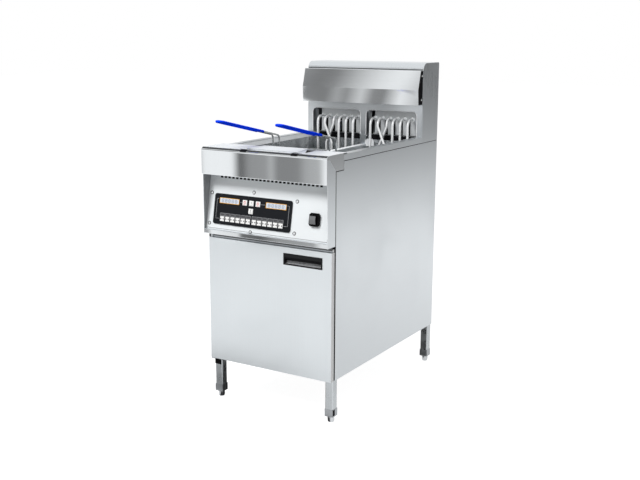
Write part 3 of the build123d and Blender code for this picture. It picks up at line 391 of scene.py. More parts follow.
Finish = Steel | Moulded
DOOR_STEEL = Steel("door_steel", (0.685, 0.722, 0.745), 0.34, Grain.UPRIGHT, 0.03)
SIDE_STEEL = Steel("side_steel", (0.70, 0.735, 0.76), 0.30, Grain.BACKWARD, 0.03)
PANEL_STEEL = Steel("panel_steel", (0.755, 0.785, 0.80), 0.48, Grain.ACROSS, 0.02, metallic=0.12)
LEDGE_STEEL = Steel("ledge_steel", (0.57, 0.59, 0.605), 0.58, Grain.ACROSS, 0.02, metallic=0.15)
STRIP_STEEL = Steel("strip_steel", (0.68, 0.70, 0.715), 0.58, Grain.ACROSS, 0.02, metallic=0.15)
LIP_STEEL = Steel("lip_steel", (0.80, 0.83, 0.85), 0.10, Grain.ACROSS, 0.04, 0.01, 0.02)
NOSE_STEEL = Steel("nose_steel", (0.82, 0.85, 0.87), 0.04, Grain.UPRIGHT, 0.03, 0.005, 0.01)
HOOD_STEEL = Steel("hood_steel", (0.85, 0.88, 0.90), 0.10, Grain.ACROSS, 0.06, 0.015, 0.02)
DECK_STEEL = Steel("deck_steel", (0.56, 0.59, 0.61), 0.30, Grain.BACKWARD, 0.03)
RISER_STEEL = Steel("riser_steel", (0.68, 0.715, 0.74), 0.28, Grain.UPRIGHT, 0.04)
PLATE_STEEL = Steel("plate_steel", (0.58, 0.60, 0.61), 0.36, Grain.UPRIGHT, 0.06, metallic=0.5)
TANK_STEEL = Steel("tank_steel", (0.66, 0.685, 0.70), 0.22, Grain.UPRIGHT, 0.08, 0.05, 0.10)
LEG_STEEL = Steel("leg_steel", (0.56, 0.59, 0.61), 0.26, Grain.UPRIGHT, 0.10, 0.06, 0.12, 30.0)
SLEEVE_STEEL = Steel("sleeve_steel", (0.44, 0.46, 0.48), 0.34, Grain.NONE, 0.12, 0.06, 0.12, 60.0)
FOOT_STEEL = Steel("foot_steel", (0.64, 0.66, 0.68), 0.26, Grain.NONE, 0.12, 0.06, 0.12, 60.0)
# Dark steel laid on the inner faces of the control housing's cheeks as painted shade.
CHEEK_SHADE_STEEL = Steel("cheek_painted_shade", (0.27, 0.28, 0.29), 0.46, Grain.UPRIGHT, 0.10, metallic=0.3)
# Near-white steel for painted highlights: the door's right edge, the bar at the right end of the
# gap above it, and the beads round the riser's windows.
HIGHLIGHT_STEEL = Steel("painted_highlight_steel", (0.95, 0.96, 0.97), 0.50, Grain.UPRIGHT, 0.01, metallic=0.15)
# Dark steel as painted shade in the gap above the door, under the control housing's lip.
GAP_SHADE_STEEL = Steel("gap_painted_shade", (0.10, 0.104, 0.108), 0.42, Grain.ACROSS, 0.06)
ZINC_STEEL = Steel("zinc_steel", (0.56, 0.585, 0.60), 0.42, Grain.NONE, 0.10, 0.06, 0.10, 18.0)
HEATER_STEEL = Steel(
    "heater_steel", (0.93, 0.94, 0.95), 0.16, Grain.NONE, 0.04, 0.02, 0.04, 40.0, 0.45
)
WIRE_STEEL = Steel("wire_steel", (0.62, 0.64, 0.65), 0.20, Grain.NONE, 0.06, 0.04, 0.06, 40.0)
SCREW_STEEL = Steel("screw_steel", (0.84, 0.86, 0.87), 0.22, Grain.NONE, 0.06, 0.04, 0.06, 90.0)
VALVE_BRASS = Steel("cast_brass", (0.66, 0.50, 0.24), 0.36, Grain.NONE, 0.08, 0.10, 0.10, 40.0)
BLUE_COATING = Moulded("grip_coating", (0.005, 0.050, 0.92), 0.42, 0.0, 260.0, 0.05, 0.06, 0.0)
BLACK_PLASTIC = Moulded("pull_plastic", (0.012, 0.012, 0.013), 0.46, 0.0, 900.0, 0.10, 0.12, 0.12)
PULL_GREY = Moulded("pull_grey", (0.34, 0.345, 0.355), 0.55, 0.0, 110.0, 0.30, 0.80, 0.2)
# Dark grey for lines of painted shade along the nose's upper bend and the hood's top edge.
SHADE_LINE_GREY = Moulded("painted_shade_grey", (0.035, 0.037, 0.039), 0.50, 0.0, 700.0, 0.05, 0.10, 0.2)
# Black for the switch bezel; elsewhere black as painted shade in slits, notches, slots, gaps and
# hollows, round screw heads and on the legs.
BLACK_AND_SHADE = Moulded("black_and_painted_shade", (0.006, 0.006, 0.007), 0.60, 0.0, 700.0, 0.08, 0.12, 0.05)
# Black for the control box, as painted shade seen through the vent slots.
BOX_SHADE_BLACK = Moulded("box_painted_shade", (0.012, 0.012, 0.013), 0.55, 0.0, 500.0, 0.10, 0.12, 0.3)
# Grey for the rocker's front faces as painted light; its other faces are black as painted shade.
ROCKER_LIT_GREY = Moulded("rocker_painted_light", (0.15, 0.153, 0.158), 0.40, 0.0, 900.0, 0.08, 0.10, 0.3)
OVERLAY_FILM = Moulded("overlay_film", (0.008, 0.009, 0.011), 0.45, 0.0, 1400.0, 0.05, 0.12, 0.12)
KEY_WHITE = Moulded("key_cap", (0.78, 0.78, 0.77), 0.45, 0.0, 1400.0, 0.04, 0.03)
# Grey for printed lines and signs, and for a line of painted shade at the control panel's foot.
PRINT_AND_SHADE_GREY = ink("print_and_shade_grey", (0.33, 0.34, 0.35), 0.45)
PRINT_PALE = ink("print_pale", (0.26, 0.27, 0.33), 0.45)
PRINT_DARK = ink("print_dark", (0.05, 0.05, 0.055), 0.45)
PRINT_AMBER = ink("print_amber", (0.72, 0.36, 0.04), 0.42)
PRINT_RED = ink("print_red", (0.58, 0.03, 0.03), 0.42)
DISPLAY_PANE = Moulded("pane_film", (0.575, 0.64, 0.72), 0.20, 0.3, 300.0, 0.0, 0.03)
LEVER_RED = Moulded("lever_paint", (0.50, 0.025, 0.02), 0.35, 0.2, 300.0, 0.06, 0.08)
NYLON_BLACK = Moulded("nylon_black", (0.020, 0.020, 0.022), 0.48, 0.0, 500.0, 0.10, 0.12)


@dataclass(frozen=True)
class Accent:
    """Another finish for the faces of a piece that look in one direction."""

    direction: Spot
    finish: Finish
    cosine: float = 0.7

    def meets(self, normal: Vector) -> bool:
        """Whether a face with this normal takes the accent."""
        return normal.dot(Vector(self.direction)) > self.cosine


UP = (0.0, 0.0, 1.0)
FORWARD = (0.0, -1.0, 0.0)
RIGHT = (1.0, 0.0, 0.0)
DECK_SLIT: tuple[Nudge, ...] = ((2, 875.0, 877.2),)


class SubAssembly:
    """Shared bench work: turning meshes into pieces that ride on the CAD bodies."""

    nodes: dict[str, bpy.types.Object] = {}
    node_body: dict[str, str] = {}
    node_slot: dict[str, str] = {}

    @classmethod
    def set_frame(cls, frame: dict) -> None:
        """Keep the frame's nodes, and each node's body and material slot, for all classes.

        Args:
            frame: The loaded frame.
        """
        cls.nodes = frame["nodes"]
        for body, members in frame["record"]["behaviour"]["bodies"].items():
            cls.node_body.update({member: body for member in members})
        for row in frame["record"]["subparts"]:
            cls.node_slot[row["node"]] = row["material_slot"]

    def make(
        self,
        mesh: Mesh,
        name: str,
        finish: Finish,
        node: str,
        stands_for: Iterable[str] = (),
        smooth_deg: float = 32.0,
        outward: bool = True,
        accents: Sequence[Accent] = (),
    ) -> None:
        """Write a bmesh to a new piece that rides with a CAD node.

        Args:
            mesh: The finished bmesh, in metres in the row frame; it is freed here.
            name: Name of the piece.
            finish: Finish of all its faces.
            node: CAD node whose body the piece rides with.
            stands_for: CAD nodes that the piece replaces.
            smooth_deg: Edges sharper than this stay hard.
            outward: Whether to turn the faces outwards.
            accents: Other finishes for faces that look in given directions.
        """
        bmesh.ops.remove_doubles(mesh, verts=mesh.verts, dist=WELD)
        if outward:
            bmesh.ops.recalc_face_normals(mesh, faces=mesh.faces)
        data = to_data(mesh, name)
        data.polygons.foreach_set("use_smooth", [True] * len(data.polygons))
        data.set_sharp_from_angle(angle=math.radians(smooth_deg))
        data.materials.append(finish.material())
        for slot, accent in enumerate(accents, 1):
            data.materials.append(accent.finish.material())
            for polygon in data.polygons:
                if accent.meets(polygon.normal):
                    polygon.material_index = slot
        piece = put(name, data)
        flatten = piece.modifiers.new("flat_faces", "WEIGHTED_NORMAL")
        flatten.keep_sharp = True
        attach(piece, self.node_body[node])
        stands_for = tuple(stands_for)
        if stands_for:
            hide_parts(*stands_for)
        LOG.info("%s: %d faces on %s", name, len(data.polygons), self.node_body[node])

    def dress(
        self,
        node: str,
        finish: Finish,
        edge: float = 0.5,
        steps: int = 2,
        accents: Sequence[Accent] = (),
        nudges: Sequence[Nudge] = (),
    ) -> None:
        """Replace a CAD node by a copy of its mesh with softened edges.

        Args:
            node: CAD node to copy.
            finish: Finish of the copy.
            edge: Width of the softened edges in millimetres.
            steps: Facets across each softened edge.
            accents: Other finishes for faces that look in given directions.
            nudges: Axis, old place and new place of edges to shift, in millimetres.
        """
        mesh = bmesh.new()
        mesh.from_mesh(self.nodes[node].data)
        bmesh.ops.remove_doubles(mesh, verts=mesh.verts, dist=WELD)
        for axis, old, new in nudges:
            for vert in mesh.verts:
                if abs(vert.co[axis] - at(old, old, old)[axis]) < NUDGE_REACH * MM:
                    vert.co[axis] = at(new, new, new)[axis]
        flat = math.radians(FLAT_DEG)
        bmesh.ops.dissolve_limit(mesh, angle_limit=flat, verts=mesh.verts, edges=mesh.edges)
        self.soften(mesh, edge, steps)
        self.make(mesh, f"{node}_dressed", finish, node, [node], SHEET_DEG, False, accents)

    def coat(self, finish: Finish, *nodes: str) -> None:
        """Give CAD nodes that stay as they are a procedural finish.

        Args:
            finish: The finish.
            nodes: Names of the nodes.
        """
        for node in nodes:
            for slot in self.nodes[node].material_slots:
                slot.material = finish.material()
            LOG.info("%s: CAD mesh with %s", node, finish.name)

    def bars(self, name: str, finish: Finish, node: str, *boxes: Box, edge: float = 0.0) -> None:
        """Make a piece of square bars, each between two opposite corners in millimetres.

        Args:
            name: Name of the piece.
            finish: Its finish.
            node: CAD node that it rides with.
            boxes: Two corners of each bar, as for at().
            edge: Width of a bevel on all edges in millimetres.
        """
        mesh = bmesh.new()
        for low, high in boxes:
            self.add_bar(mesh, low, high, edge)
        self.make(mesh, name, finish, node)

    @staticmethod
    def bevel(mesh: Mesh, edges: list[Edge], width: float, steps: int, clamp: bool) -> None:
        """Bevel some edges of a mesh.

        Args:
            mesh: Mesh to change.
            edges: The edges.
            width: Width of the bevel in millimetres.
            steps: Facets across it.
            clamp: Whether bevels stop where they would overlap.
        """
        bmesh.ops.bevel(
            mesh, geom=edges, offset=width * MM, segments=steps, profile=0.5,
            affect="EDGES", material=-1, clamp_overlap=clamp,
        )

    def soften(self, mesh: Mesh, edge: float, steps: int = 2, sharper_deg: float = 28.0) -> None:
        """Bevel the hard edges of a mesh.

        Args:
            mesh: Mesh to change.
            edge: Width of the bevel in millimetres.
            steps: Facets across the bevel.
            sharper_deg: Only edges sharper than this are bevelled.
        """
        limit = math.radians(sharper_deg)
        inner = [line for line in mesh.edges if len(line.link_faces) == 2]
        hard = [line for line in inner if line.calc_face_angle() > limit]
        self.bevel(mesh, hard, edge, steps, True)

    def add_box(
        self, mesh: Mesh, size: Sequence[float], place: Matrix, edge: float = 0.0
    ) -> None:
        """Add a box to a mesh.

        Args:
            mesh: Mesh to add to.
            size: Its three lengths in millimetres.
            place: Matrix of its centre, in metres.
            edge: Width of a bevel on all its edges in millimetres.
        """
        scale = Matrix.Diagonal((*[length * MM for length in size], 1.0))
        made = bmesh.ops.create_cube(mesh, size=1.0, matrix=place @ scale)["verts"]
        if edge:
            lines = list({line for vert in made for line in vert.link_edges})
            self.bevel(mesh, lines, edge, 2, True)

    def add_bar(
        self, mesh: Mesh, low: Sequence[float], high: Sequence[float], edge: float = 0.0
    ) -> None:
        """Add a box between two opposite corners.

        Args:
            mesh: Mesh to add to.
            low: Corner in millimetres as for at(), with the smaller values.
            high: Corner with the greater values.
            edge: Width of a bevel on all its edges in millimetres.
        """
        size = [end - start for start, end in zip(low, high)]
        middle = at(*[(start + end) / 2 for start, end in zip(low, high)])
        self.add_box(mesh, size, Matrix.Translation(middle), edge)

    @staticmethod
    def add_slab(mesh: Mesh, outline: Iterable[Vector], step: Sequence[float]) -> None:
        """Add a flat outline that is extruded along a step.

        Args:
            mesh: Mesh to add to.
            outline: Corners of the outline in metres.
            step: The step in millimetres.
        """
        end = mesh.faces.new([mesh.verts.new(corner) for corner in outline])
        made = bmesh.ops.extrude_face_region(mesh, geom=[end], use_keep_orig=True)["geom"]
        bmesh.ops.translate(mesh, verts=only(made, Vert), vec=[part * MM for part in step])

    @staticmethod
    def add_lathe(
        mesh: Mesh, profile: Sequence[Pair], place: Matrix, sides: int = TURNED_SIDES
    ) -> None:
        """Add a turned form: a profile of (radius, height) in millimetres spun about local Z.

        Args:
            mesh: Mesh to add to.
            profile: Points from the bottom to the top; a radius of 0 closes the form.
            place: Matrix of the form's foot, in metres.
            sides: Facets round the form.
        """
        before = set(mesh.verts)
        verts = [mesh.verts.new(Vector((radius, 0.0, height)) * MM) for radius, height in profile]
        lines = [mesh.edges.new(pair) for pair in zip(verts, verts[1:])]
        bmesh.ops.spin(
            mesh, geom=verts + lines, cent=(0, 0, 0), axis=(0, 0, 1), dvec=(0, 0, 0),
            angle=math.tau, steps=sides, use_merge=True, use_duplicate=False,
        )
        turned = [vert for vert in mesh.verts if vert not in before]
        bmesh.ops.remove_doubles(mesh, verts=turned, dist=FINE_WELD)
        turned = [vert for vert in mesh.verts if vert not in before]
        bmesh.ops.transform(mesh, matrix=place, verts=turned)

    @staticmethod
    def add_prism(mesh: Mesh, radius: float, length: float, place: Matrix, sides: int = 6) -> None:
        """Add a closed prism.

        Args:
            mesh: Mesh to add to.
            radius: Radius of its corners in millimetres.
            length: Its length along local Z in millimetres.
            place: Matrix of its foot, in metres.
            sides: Number of its sides.
        """
        middle = place @ Matrix.Translation((0, 0, length * MM / 2))
        bmesh.ops.create_cone(
            mesh, cap_ends=True, segments=sides, radius1=radius * MM, radius2=radius * MM,
            depth=length * MM, matrix=middle,
        )


@dataclass
class BentRod:
    """A round rod along straight runs and round bends, from one ring extruded and spun."""

    radius: float
    sides: int = 12
    bend_steps: int = 6

    def lay(
        self, mesh: Mesh, corners: Sequence[Vector], bends: Sequence[float], closed: bool = False
    ) -> None:
        """Add the rod to a mesh.

        Args:
            mesh: Mesh to add to.
            corners: Start, corners and end of the rod in metres.
            bends: Bend radius in millimetres at each inner corner.
            closed: Whether the end meets the start, so that no caps are needed.
        """
        heading = (corners[1] - corners[0]).normalized()
        ring = bmesh.ops.create_circle(
            mesh, cap_ends=not closed, radius=self.radius * MM, segments=self.sides,
            matrix=facing(heading, corners[0]),
        )["verts"]
        edges = self._ring_edges(ring)
        spot = corners[0].copy()
        for corner, after, bend in zip(corners[1:], corners[2:], bends):
            onward = (after - corner).normalized()
            turn = heading.angle(onward)
            reach = bend * MM * math.tan(turn / 2)
            start = corner - heading * reach
            edges = self._run(mesh, edges, start - spot)
            axis = heading.cross(onward).normalized()
            last = bmesh.ops.spin(
                mesh, geom=edges + list({vert for line in edges for vert in line.verts}),
                cent=start + axis.cross(heading) * bend * MM, axis=axis, dvec=(0, 0, 0),
                angle=turn, steps=self.bend_steps, use_merge=False, use_duplicate=False,
            )["geom_last"]
            edges = only(last, Edge)
            spot = corner + onward * reach
            heading = onward
        edges = self._run(mesh, edges, corners[-1] - spot)
        if not closed:
            bmesh.ops.edgeloop_fill(mesh, edges=edges)

    @staticmethod
    def _ring_edges(ring: Sequence[Vert]) -> list[Edge]:
        """Find the edges between the vertices of one ring.

        Args:
            ring: The vertices.

        Returns:
            The edges.
        """
        inside = set(ring)
        near = {line for vert in ring for line in vert.link_edges}
        return [line for line in near if inside.issuperset(line.verts)]

    def _run(self, mesh: Mesh, edges: list[Edge], step: Vector) -> list[Edge]:
        """Extrude the ring along a straight run.

        Args:
            mesh: Mesh to change.
            edges: Edges of the ring.
            step: The run in metres.

        Returns:
            Edges of the new ring.
        """
        if step.length < WELD:
            return edges
        verts = only(bmesh.ops.extrude_edge_only(mesh, edges=edges)["geom"], Vert)
        bmesh.ops.translate(mesh, verts=verts, vec=step)
        return self._ring_edges(verts)


@dataclass
class Cabinet(SubAssembly):
    """Side, back and floor sheets, the frame behind the door, and the legs on their feet."""

    slits: tuple[Nudge, ...] = (
        (1, 57.0, 62.2), (1, 55.5, 60.7), (1, 107.3, 109.3), (2, 847.7, 845.7)
    )
    skin_x: float = 244.2
    seam_thick: float = 1.0
    door_seams: tuple[Band, Band] = (
        ((55.2, 152.0), (61.8, 604.0)), ((52.0, 152.0), (61.8, 604.0))
    )
    seam_rows: tuple[Band, ...] = (
        ((54.0, 604.0), (61.8, 850.0)), ((54.0, 843.0), (110.0, 850.0)),
        ((105.5, 843.0), (111.0, 896.0)), ((105.5, 872.0), (818.0, 879.5)),
    )
    leg_x: float = 227.0
    leg_ys: Pair = (67.0, 805.0)
    leg_size: float = 30.0
    sleeve_height: float = 26.0
    sleeve_thick: float = 0.6
    sleeve_lift: float = 0.3
    rear_limit: float = 820.0
    # Places of the black patches on the front legs: a painted dark reflection low on the right
    # one, painted shade high on the left one.
    low_patch_foot: float = 26.0
    shade_patch_thick: float = 0.5
    low_patch_short: Pair = (2.0, 1.0)
    high_patch_zs: Pair = (123.0, 149.0)
    shade_wedge: Pairs = ((0.0, 149.6), (26.0, 149.6), (0.0, 139.0))
    shade_wedge_thick: float = 2.0
    high_patch_short: float = 3.0
    foot_radius: float = 11.6
    foot_height: float = 21.8
    foot_low: Pairs = ((4.2, 0.0), (2.6, 0.8), (1.0, 4.0), (0.4, 8.0))
    foot_high: Pairs = ((0.0, 7.0), (0.0, 1.0), (1.0, 0.0))
    foot_sides: int = 28
    stem_sides: int = 14
    stem_radius: float = 4.6
    stem_top: float = 60.0
    thread_pitch: float = 2.0
    thread_depth: float = 0.6

    def build(self) -> None:
        """Dress the sheets and legs and turn the four feet."""
        for side, _ in SIDES:
            self.dress(f"{side}_side_panel", SIDE_STEEL, 0.5, nudges=self.slits)
        self.seams()
        self.coat(ZINC_STEEL, "base_pan")
        self.dress("back_panel", ZINC_STEEL, 0.4)
        self.dress("front_frame", RISER_STEEL, 0.5)
        self.dress("legs", LEG_STEEL, 0.8, 3)
        self.dress("cable_gland", NYLON_BLACK, 0.8, 3)
        for side, sign in SIDES:
            for end, y in zip(("front", "rear"), self.leg_ys):
                self.foot(f"foot_{end}_{side}", at(sign * self.leg_x, y, 0.0))
        self.leg_trim()

    def seams(self) -> None:
        """Lay black strips behind the slits between the side sheets and their neighbours, as
        painted shade in the slits.
        """
        boxes = []
        for (_, sign), door in zip(SIDES, self.door_seams):
            left, right = sorted((sign * (self.skin_x - self.seam_thick), sign * self.skin_x))
            boxes += [((left, *low), (right, *high)) for low, high in (door, *self.seam_rows)]
        self.bars("seam_shade_strips", BLACK_AND_SHADE, "left_side_panel", *boxes)

    def leg_trim(self) -> None:
        """Put a sleeve on the lower end of each leg, a dark reflection painted low on the right
        front leg's outer face, and painted shade as a band and wedge at the top of the left front
        leg.
        """
        low, high = self.foot_height + self.sleeve_lift, self.foot_height + self.sleeve_height
        half, outer = self.leg_size / 2, self.leg_size / 2 + self.sleeve_thick
        walls = []
        for x in (-self.leg_x, self.leg_x):
            for y in self.leg_ys:
                for _, sign in SIDES:
                    near, far = sorted((sign * half, sign * outer))
                    walls.append(((x + near, y - half, low), (x + far, y + half, high)))
                    if y + far <= self.rear_limit:
                        walls.append(((x - outer, y + near, low), (x + outer, y + far, high)))
        self.bars("leg_sleeves", SLEEVE_STEEL, "legs", *walls)
        # Black patches of painted shade and of a painted dark reflection on the front legs.
        dark = bmesh.new()
        x, front = self.leg_x, self.leg_ys[0] - half
        face, (high_patch_foot, high_patch_top) = x + outer, self.high_patch_zs
        short_y, short_z = self.low_patch_short
        low_patch_top = (face + self.shade_patch_thick, front + half - short_y, high - short_z)
        self.add_bar(dark, (face, front, self.low_patch_foot), low_patch_top)
        high_patch_start = (-x - half, front - self.shade_patch_thick, high_patch_foot)
        self.add_bar(dark, high_patch_start, (-x + half - self.high_patch_short, front, high_patch_top))
        plate = [at(-x + half + reach, front, z) for reach, z in self.shade_wedge]
        self.add_slab(dark, plate, (0, self.shade_wedge_thick, 0))
        self.make(dark, "leg_shade_patches", BLACK_AND_SHADE, "legs")

    def foot(self, node: str, spot: Vector) -> None:
        """Turn one stubby screw foot with its threaded stem.

        Args:
            node: CAD node that the foot replaces.
            spot: Middle of the foot on the floor.
        """
        mesh = bmesh.new()
        place = Matrix.Translation(spot)
        wide, top = self.foot_radius, self.foot_height
        profile = [(0.0, 0.0), *((wide - inset, z) for inset, z in self.foot_low)]
        profile += [(wide - inset, top - drop) for inset, drop in self.foot_high]
        self.add_lathe(mesh, [*profile, (0.0, top)], place, self.foot_sides)
        stem = [(0.0, top)]
        level, root = top, self.stem_radius - self.thread_depth
        while level < self.stem_top - self.thread_pitch:
            stem += [(root, level), (self.stem_radius, level + self.thread_pitch / 2)]
            level += self.thread_pitch
        stem += [(root, self.stem_top), (0.0, self.stem_top)]
        self.add_lathe(mesh, stem, place, self.stem_sides)
        self.make(mesh, f"{node}_turned", FOOT_STEEL, node, [node])


@dataclass
class Nose(SubAssembly):
    """Polished front cover with its folded ears, and the loose plate on its ledge."""

    edge: float = 0.5
    flat: Accent = Accent(UP, LEDGE_STEEL, 0.93)
    half: float = 244.0
    top: float = 901.5
    bend: float = 13.0
    bend_steps: int = 6
    # Angles and height of the dark grey line of painted shade on the bend, then of the black
    # painted shade in the notches.
    bend_shade_arc: Spot = (14.0, 56.0, 0.15)
    notch_arc: Spot = (2.0, 62.0, 0.3)
    notches: Pair = (-75.0, 122.0)
    notch_width: float = 25.0
    corner_shade: Pairs = ((143.0, 37.0), (139.0, 109.0), (104.0, 111.0))
    shade_lift: float = 0.15
    shade_thick: float = 0.1
    strip_lift: float = 0.02

    def build(self) -> None:
        """Dress the two sheets, whose flat tops are brushed; paint a dark grey line of shade along
        the upper bend, and black shade in its notches and in a corner of the ledge.
        """
        for node in ("nose_cover", "ledge_plate"):
            self.dress(node, NOSE_STEEL, self.edge, accents=[self.flat])
        # The mesh seam holds the dark grey line of painted shade along the upper bend.
        seam = bmesh.new()
        self.bend_strip(seam, 0.0, 2 * self.half, self.bend_shade_arc)
        self.make(seam, "nose_bend_shade", SHADE_LINE_GREY, "nose_cover", (), CURVED_DEG)
        # Black painted shade in the notches and in the corner of the ledge.
        dark = bmesh.new()
        for x in self.notches:
            self.bend_strip(dark, x, self.notch_width, self.notch_arc)
        shade = [at(x, y, self.top + self.shade_lift) for x, y in self.corner_shade]
        self.add_slab(dark, shade, (0, 0, self.shade_thick))
        self.make(dark, "nose_notch_shades", BLACK_AND_SHADE, "nose_cover", (), CURVED_DEG)

    def bend_strip(self, mesh: Mesh, x: float, width: float, arc: Spot) -> None:
        """Add a strip that lies on the nose's upper bend.

        Args:
            mesh: Mesh to add to.
            x: Middle of the strip.
            width: Length of the strip across the nose.
            arc: Angles from the top where it starts and ends, and its height over the sheet.
        """
        start_deg, end_deg, proud = arc
        share = (end_deg - start_deg) / self.bend_steps
        turns = [math.radians(start_deg + share * step) for step in range(self.bend_steps + 1)]
        rows = [(self.bend + proud, turn) for turn in turns]
        rows += [(self.bend + self.strip_lift, turn) for turn in reversed(turns)]
        middle, left = self.top - self.bend, x - width / 2
        outline = [
            at(left, self.bend - radius * math.sin(turn), middle + radius * math.cos(turn))
            for radius, turn in rows
        ]
        self.add_slab(mesh, outline, (width, 0, 0))


@dataclass
class ControlFront(SubAssembly):
    """Slanted control panel: housing, keypad with its print and keys, switch and screws."""

    lean_deg: float = 10.634
    origin: Spot = (0.0, 29.752, 691.0)
    keypad_u: float = -60.0
    keypad_thick: float = 3.0
    keypad_size: Pair = (312.0, 104.0)
    display_u: float = 94.0
    display_v: float = 29.0
    display_size: Spot = (84.0, 21.0, 1.5)
    pane_size: Pair = (77.0, 15.4)
    border: float = 1.7
    digit_size: Pair = (7.8, 10.0)
    digit_bar: Pair = (6.0, 2.0)
    digit_upright: Pair = (2.0, 3.4)
    digit_pitch: float = 13.6
    digit_count: int = 5
    line: float = 1.0
    line_clear: float = 2.0
    line_rise: float = 5.0
    line_us: Pair = (145.0, 129.0)
    line_bridge: float = 3.2
    key_edge: float = 0.3
    key_clear: float = 9.6
    key_u: float = -4.5
    key_pitch: float = 26.5
    key_lower_v: float = 2.5
    key_top: float = 3.8
    sign_rise: float = 1.0
    ring_radii: Pair = (4.4, 3.2)
    stroke_rise: float = 3.9
    stroke_size: Pair = (1.2, 5.8)
    dash_drop: float = 6.1
    dash_size: Pair = (9.0, 1.0)
    arrow_radius: float = 3.0
    arrow_lifts: Pair = (1.5, 3.0)
    shaft_size: Pair = (1.2, 6.0)
    glass_half: float = 5.0
    glass_radius: float = 3.6
    timer_columns: int = 6
    timer_u: float = 65.0
    timer_pitch: float = 21.2
    timer_v: float = -33.0
    timer_size: Pair = (17.0, 16.5)
    window_rise: float = 6.5
    window_height: float = 7.6
    window_short: float = 1.2
    window_frame: Spot = (1.5, 2.4, 0.9)
    print_thick: float = 0.12
    screw_radius: float = 4.7
    screw_head: float = 3.0
    screw_out: Pair = (15.6, 14.2)
    screw_form: Pairs = (
        (0.0, 0.0), (0.97, 0.0), (1.0, 0.15), (0.95, 0.5),
        (0.72, 0.85), (0.42, 0.97), (0.30, 0.60), (0.0, 0.45),
    )
    washer: Pairs = ((3.0, 0.0), (6.3, 0.0), (6.3, 0.5), (5.9, 0.8), (3.0, 0.8))
    hood_zs: Pair = (1121.0, 1035.0)
    hood_screws: tuple[tuple[Spot, float, float], ...] = (
        ((233.0, 676.0, 0.0), 3.5, 2.5), ((241.8, 678.6, 1.0), 3.6, 2.4)
    )
    switch_u: float = 185.0
    rocker_width: float = 22.6
    rocker_axis: float = 4.0
    rocker_tilt: float = 7.0
    rocker_edge: float = 0.7
    rocker_crease: float = 15.0
    rocker_outline: Pairs = (
        (-14.6, -1.4), (14.6, -1.4), (14.6, 6.0), (13.4, 13.4),
        (1.0, 15.6), (-13.4, 13.4), (-14.6, 6.0),
    )
    cheek_x: float = 243.5
    cheek_front: float = 8.4
    cheek_zs: Pair = (621.6, 806.0)
    cheek_shade_thick: float = 0.3
    cheek_shade_gap: float = 0.5
    foot_v: float = -68.6
    foot_line: float = 2.2
    slot_v: float = 109.6
    slot_count: int = 26
    slot_pitch: float = 15.7
    slot_size: Spot = (10.0, 8.6, 1.4)
    shade_proud: float = 0.2

    def spot(self, u: float, v: float, w: float) -> Matrix:
        """Find a place on the slanted panel.

        Args:
            u: Distance to the right from the keypad's middle.
            v: Distance up the slope.
            w: Distance out of the panel.

        Returns:
            Matrix at the place, with local X, Y and Z along u, v and w.
        """
        turn = Matrix.Rotation(math.radians(90.0 - self.lean_deg), 4, "X")
        shift = Matrix.Translation(Vector((self.keypad_u + u, v, w)) * MM)
        return Matrix.Translation(at(*self.origin)) @ turn @ shift

    def build(self) -> None:
        """Dress the sheets and make the keypad, the switch and the screws."""
        self.dress("control_housing", SIDE_STEEL, 0.5, accents=[Accent(FORWARD, LIP_STEEL)])
        self.cheek_shade_lining()
        self.dress("control_panel", PANEL_STEEL, 0.25)
        # The control box is black as painted shade behind the vent slots.
        self.dress("control_box", BOX_SHADE_BLACK, 0.4)
        self.dress("keypad_bezel", OVERLAY_FILM, 0.4)
        self.dress("switch_bezel", BLACK_AND_SHADE, 0.8, 3)
        self.rocker()
        self.slot_shade()
        self.displays()
        self.overlay_print()
        self.top_keys()
        self.timer_keys()
        self.screws()

    def patch(self, mesh: Mesh, centre: Pair, size: Pair, w: float) -> None:
        """Add one flat printed rectangle that stands a hair proud of the level w."""
        place = self.spot(*centre, w + self.print_thick / 2)
        self.add_box(mesh, (*size, self.print_thick), place)

    def strip(self, mesh: Mesh, start: Pair, end: Pair, w: float) -> None:
        """Add a printed rectangle between two opposite corners."""
        centre = [(first + last) / 2 for first, last in zip(start, end)]
        self.patch(mesh, centre, [abs(last - first) for first, last in zip(start, end)], w)

    def rule(self, mesh: Mesh, start: float, end: float, v: float) -> None:
        """Print a level line on the keypad."""
        half = self.line / 2
        self.strip(mesh, (start, v - half), (end, v + half), self.keypad_thick)

    def frame_line(self, mesh: Mesh, centre: Pair, size: Pair, line: float, w: float) -> None:
        """Add a rectangular printed frame.

        Args:
            mesh: Mesh to add to.
            centre: Middle of the frame on the panel.
            size: Outer width and height.
            line: Width of the line.
            w: Level of the surface under it.
        """
        (u, v), (wide, high) = centre, size
        for side in (1, -1):
            self.patch(mesh, (u, v + side * (high - line) / 2), (wide, line), w)
        for side in (-1, 1):
            self.patch(mesh, (u + side * (wide - line) / 2, v), (line, high - 2 * line), w)

    def cheek_shade_lining(self) -> None:
        """Line the inner faces of the two cheeks in front of the panel with dark steel, as painted
        shade.
        """
        mesh = bmesh.new()
        slope = math.tan(math.radians(self.lean_deg))
        _, start_y, start_z = self.origin
        rows = [(self.cheek_front, z) for z in self.cheek_zs]
        for z in reversed(self.cheek_zs):
            rows.append((start_y + (z - start_z) * slope - self.cheek_shade_gap, z))
        for _, sign in SIDES:
            outline = [at(sign * self.cheek_x, y, z) for y, z in rows]
            self.add_slab(mesh, outline, (-sign * self.cheek_shade_thick, 0, 0))
        self.make(mesh, "cheek_shade_lining", CHEEK_SHADE_STEEL, "control_housing")

